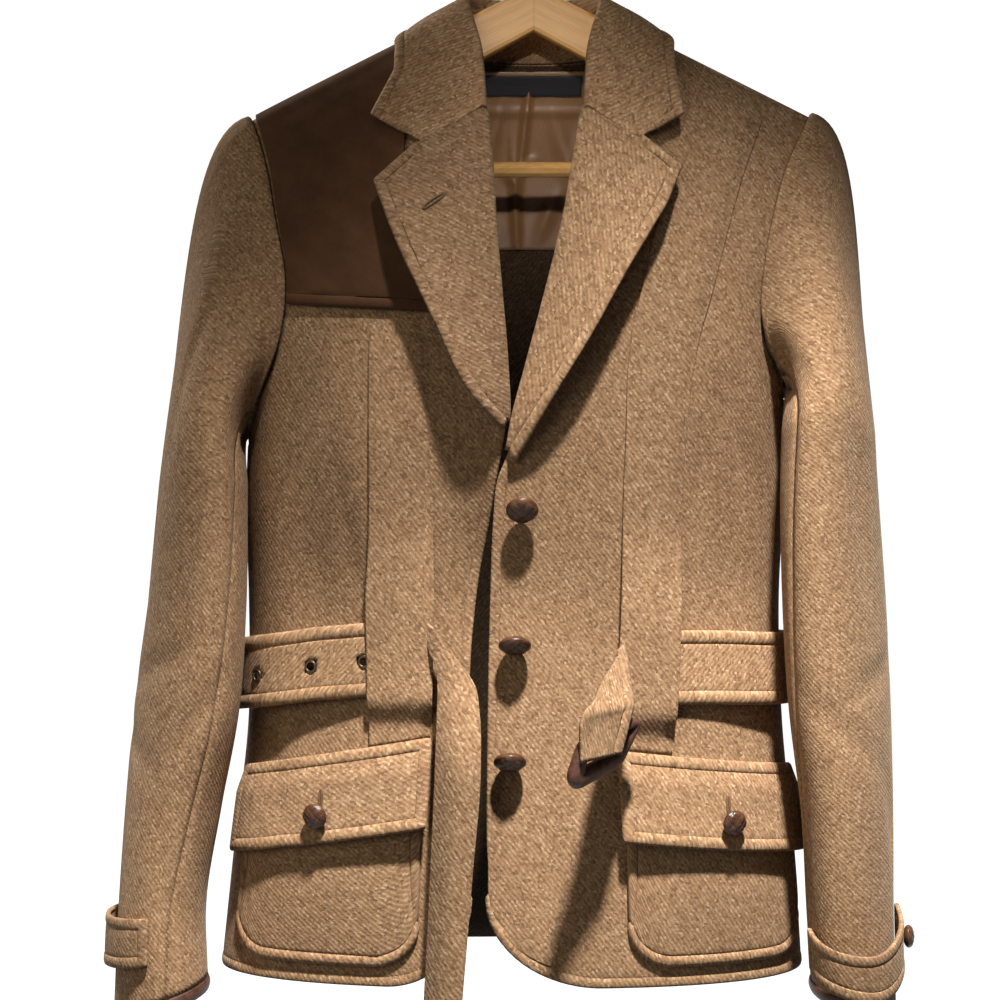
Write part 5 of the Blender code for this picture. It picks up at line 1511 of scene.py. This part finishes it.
def dress_fronts():
    """Strips, pockets, flaps, shoulder patch and front buttons."""
    for side, name in NAMES.items():
        turned = side < 0
        strip = strip_points(side)
        cloth(f"strip_{name}", strip, "strip", "tweed", flip=turned,
              place=strip[..., ::2] * (side, 1))
        cloth(f"pocket_{name}", pocket_points(side), f"pocket_{name}", "tweed", flip=turned,
              rims=("start", "end", "foot"))
        cloth(f"flap_{name}", flap_points(side), f"flap_{name}", "tweed", DOUBLE_WALL, turned, ALL_EDGES)
        knot_button(f"flap_button_{name}", *flap_spot(side, FLAP_BUTTON_DOWN), FLAP_BUTTON_SIZE,
                    *FLAP_BUTTON_HANG)
    cloth("shoulder_patch", patch_points(), "suede", "suede", flip=True, rims=("foot",))
    for count, (x, z, droop) in enumerate(FRONT_BUTTONS, 1):
        low, high = front_at(LEFT, np.full(2, x), np.full(2, z), WALL + SEAM + np.arange(2))
        knot_button(f"front_button_{count}", low, high - low, FRONT_BUTTON_SIZE, droop, FRONT_SHANK + droop)


def sew_buttonholes():
    """Corded loops of the lapel's and the flaps' buttonholes."""
    lapel = lapel_points(RIGHT)
    gap = np.hypot(lapel[..., 0] - LAPEL_HOLE[0], lapel[..., 2] - LAPEL_HOLE[1])
    row, column = np.unravel_index(gap.argmin(), gap.shape)
    normal = grid_normals(lapel, True)[row, column]
    loops = [oval(lapel[row, column] + normal * LAPEL_WALL, normal, *LAPEL_HOLE_SIZE, LAPEL_HOLE_TURN)]
    for side in NAMES:
        loops.append(oval(*flap_spot(side, FLAP_HOLE_DOWN), *FLAP_HOLE_SIZE, math.pi / 2))
    add_rings("buttonhole_cords", loops, CORD_RADIUS, CORD_RADIUS, "cord", "tweed")


def dress_sleeves(side):
    """Upper and under sleeve, the cuff's binding, its tab and its button."""
    name = NAMES[side]
    points, turns, uv, girth = sleeve_points(side)
    count = len(turns)
    front_seam = int(np.argmin(np.abs(turns - FRONT_SEAM_TURN)))
    back_seam = int(np.argmin(np.abs(turns - BACK_SEAM_TURN)))
    upper = np.arange(back_seam - count, front_seam + 1) % count
    under = np.arange(front_seam, back_seam + 1)
    for label, places in (("upper", upper), ("under", under)):
        panel = points[:, places].copy()
        seam = edge_distance(panel, ("start", "end"))
        sink = SEAM_SINK * np.exp(-(seam / SEAM_SINK_WIDTH) ** 2)
        panel = panel - grid_normals(panel, side < 0) * sink[..., None]
        for end, near in ((0, 1), (-1, -2)):
            panel[:, end] += unit(panel[:, near] - panel[:, end]) * SEAM / 2
        place = uv[:, places].copy()
        if label == "upper":
            place[:, :count - back_seam, 0] += girth[:, back_seam:]
        cloth(f"sleeve_{label}_{name}", panel, f"sleeve_{name}", "tweed", flip=side < 0, place=place)
    down = unit(points[-1] - points[-2])
    share = np.linspace(0, 1, 9)[:, None, None]
    outwards = grid_normals(points, side < 0, True)[-1]
    bulge = BINDING_BULGE * np.sin(math.pi * share)
    band = points[-1] + down * (SEAM + BINDING_HEIGHT * share) + outwards * bulge
    item = add_mesh(f"cuff_binding_{name}_leather", band.reshape(-1, 3),
                    grid_faces(len(band), count, side < 0, True))
    thicken(item, BINDING_WALL)
    finish_piece(item, "binding", "leather_trim", f"cuff_binding_{name}")
    cloth(f"cuff_tab_{name}", tab_points(side), "cuff_tab", "tweed", DOUBLE_WALL, side > 0,
          ALL_EDGES, rim=0.55)
    turn = np.float64(TAB_BUTTON_TURN[side])
    level, out = read_columns(TAB_COLUMNS, TAB_ROWS[side], "level out", turn)
    low, high = (sleeve_out(side, turn, np.float64(level), out + DOUBLE_WALL + d) for d in (0, 1))
    knot_button(f"cuff_button_{name}", low, high - low, CUFF_BUTTON_SIZE)


def dress_belt():
    """Belt round the body with its eyelets, the hanging tail, the buckle end and the buckle."""
    cloth("belt_round", belt_points(), "belt", "tweed", BELT_WALL, True, ("foot", "head"),
          away_from_eyelets)
    tail = tail_points()
    cloth("belt_tail", tail, "tail", "tweed", TAIL_WALL, True, ("head",),
          place=tail[..., ::2] * (1, -1))
    cloth("belt_buckle_end", buckle_end_points(), "tail", "tweed", TAIL_WALL, True, ("end",),
          rim=0.6)
    spots, normals = eyelet_places()
    rings = [circle(spot, normal, EYELET_RADIUS + 1.0) for spot, normal in zip(spots, normals)]
    add_rings("belt_eyelets", rings, 1.0, 1.0, "eyelet", "leather_trim")
    loop = rounded_loop(BUCKLE_CORNERS, BUCKLE_ROUND)
    lower = np.clip((BUCKLE_THICK_LEVEL - loop[:, 2]) / BUCKLE_THICK_FADE, 0, 1)[:, None, None]
    add_rings("buckle_frame", [loop], BUCKLE_BAR / 2 + BUCKLE_THICK * lower, BUCKLE_DEPTH / 2, "buckle",
              "leather_trim", "buckle")


def dress_hanger():
    """The hanger keeps its own solids and gets wood and wire finishes."""
    for node, finish in (("hanger_arms", "arms"), ("hanger_bar", "bar"), ("hanger_hook", "steel")):
        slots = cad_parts[node].data.materials
        slots.clear()
        slots.append(FINISH[finish])


def add_sweep():
    """Pale floor that bends up, by a quarter of a circle, into a wall behind the jacket."""
    floor, wall, bend, top, near, half = -1250.0, 4800.0, 900.0, 4000.0, -4800.0, 5500.0
    turn = np.linspace(0, math.pi / 2, 16)
    y = np.concatenate(((near,), wall - bend + bend * np.sin(turn), (wall,)))
    z = np.concatenate(((floor,), floor + bend - bend * np.cos(turn), (top,)))
    y, x = grid(y, (-half, half))
    points = np.stack((x, y, z[:, None] + 0 * x), axis=-1)
    sweep = add_mesh("studio_sweep", points.reshape(-1, 3), grid_faces(len(z), 2))
    paper = Finish("studio_paper", Base_Color=(0.5, 0.5, 0.5, 1.0), Roughness=1.0,
                   Emission_Color=(1.0, 1.0, 1.0, 1.0), Emission_Strength=1.0)
    sweep.data.materials.append(paper.material)
    sweep.visible_diffuse = False


def add_light(name, kind, place, target, power, colour, scale=(1.0, 1.0, 1.0), **settings):
    """Light that looks at a target."""
    lamp = bpy.data.lights.new(name, kind)
    lamp.energy = power
    lamp.color = colour
    for key, value in settings.items():
        setattr(lamp, key, value)
    item = bpy.data.objects.new(name, lamp)
    item.location = place
    item.scale = scale
    away = np.array(place) - np.array(target)
    tilt = math.acos(away[2] / np.linalg.norm(away))
    item.rotation_euler = (tilt, 0, math.atan2(away[1], away[0]) + math.pi / 2)
    bpy.context.scene.collection.objects.link(item)


def add_studio():
    """Dim warm surroundings, a key light from above the front, soft fills, and the camera."""
    add_sweep()
    world = bpy.data.worlds.new("studio")
    world.use_nodes = True
    surround = world.node_tree.nodes["Background"].inputs
    surround["Color"].default_value = (1.0, 0.96, 0.82, 1.0)
    surround["Strength"].default_value = 0.075
    bpy.context.scene.world = world
    add_light("key", "SPOT", (0.30, -1.25, 2.3), (0.10, -0.08, -0.66), 1570.0, (1.0, 0.975, 0.955),
              (1.0, 0.27, 1.0), spot_size=math.radians(27), spot_blend=1.0, shadow_soft_size=0.11)
    add_light("fill", "AREA", (-1.5, -2.1, 0.3), (0.0, 0.0, -0.45), 15.0, (1.0, 0.95, 0.81), size=1.6)
    add_light("behind", "AREA", (-1.7, 1.5, 1.3), (0.0, 0.0, -0.5), 50.0, (1.0, 0.97, 0.93), size=0.7)
    add_light("neck", "SPOT", (-0.02, -3.0, 0.7), (-0.004, 0.0, -0.17), 230.0, (1.0, 0.965, 0.93),
              (0.42, 1.0, 1.0), spot_size=math.radians(5.2), spot_blend=0.5, shadow_soft_size=0.08)
    camera = bpy.data.objects.new("photo_camera", bpy.data.cameras.new("photo_camera"))
    camera.data.lens = 68.8
    camera.data.sensor_width = 36.0
    camera.location = (-0.0244, -1.38, -0.4475)
    camera.rotation_euler = (math.pi / 2, 0, 0)
    bpy.context.scene.collection.objects.link(camera)
    bpy.context.scene.camera = camera
    bpy.context.scene.view_settings.view_transform = "Standard"


dress_body()
dress_fronts()
sew_buttonholes()
for one_side in NAMES:
    dress_sleeves(one_side)
dress_belt()
dress_hanger()
add_studio()
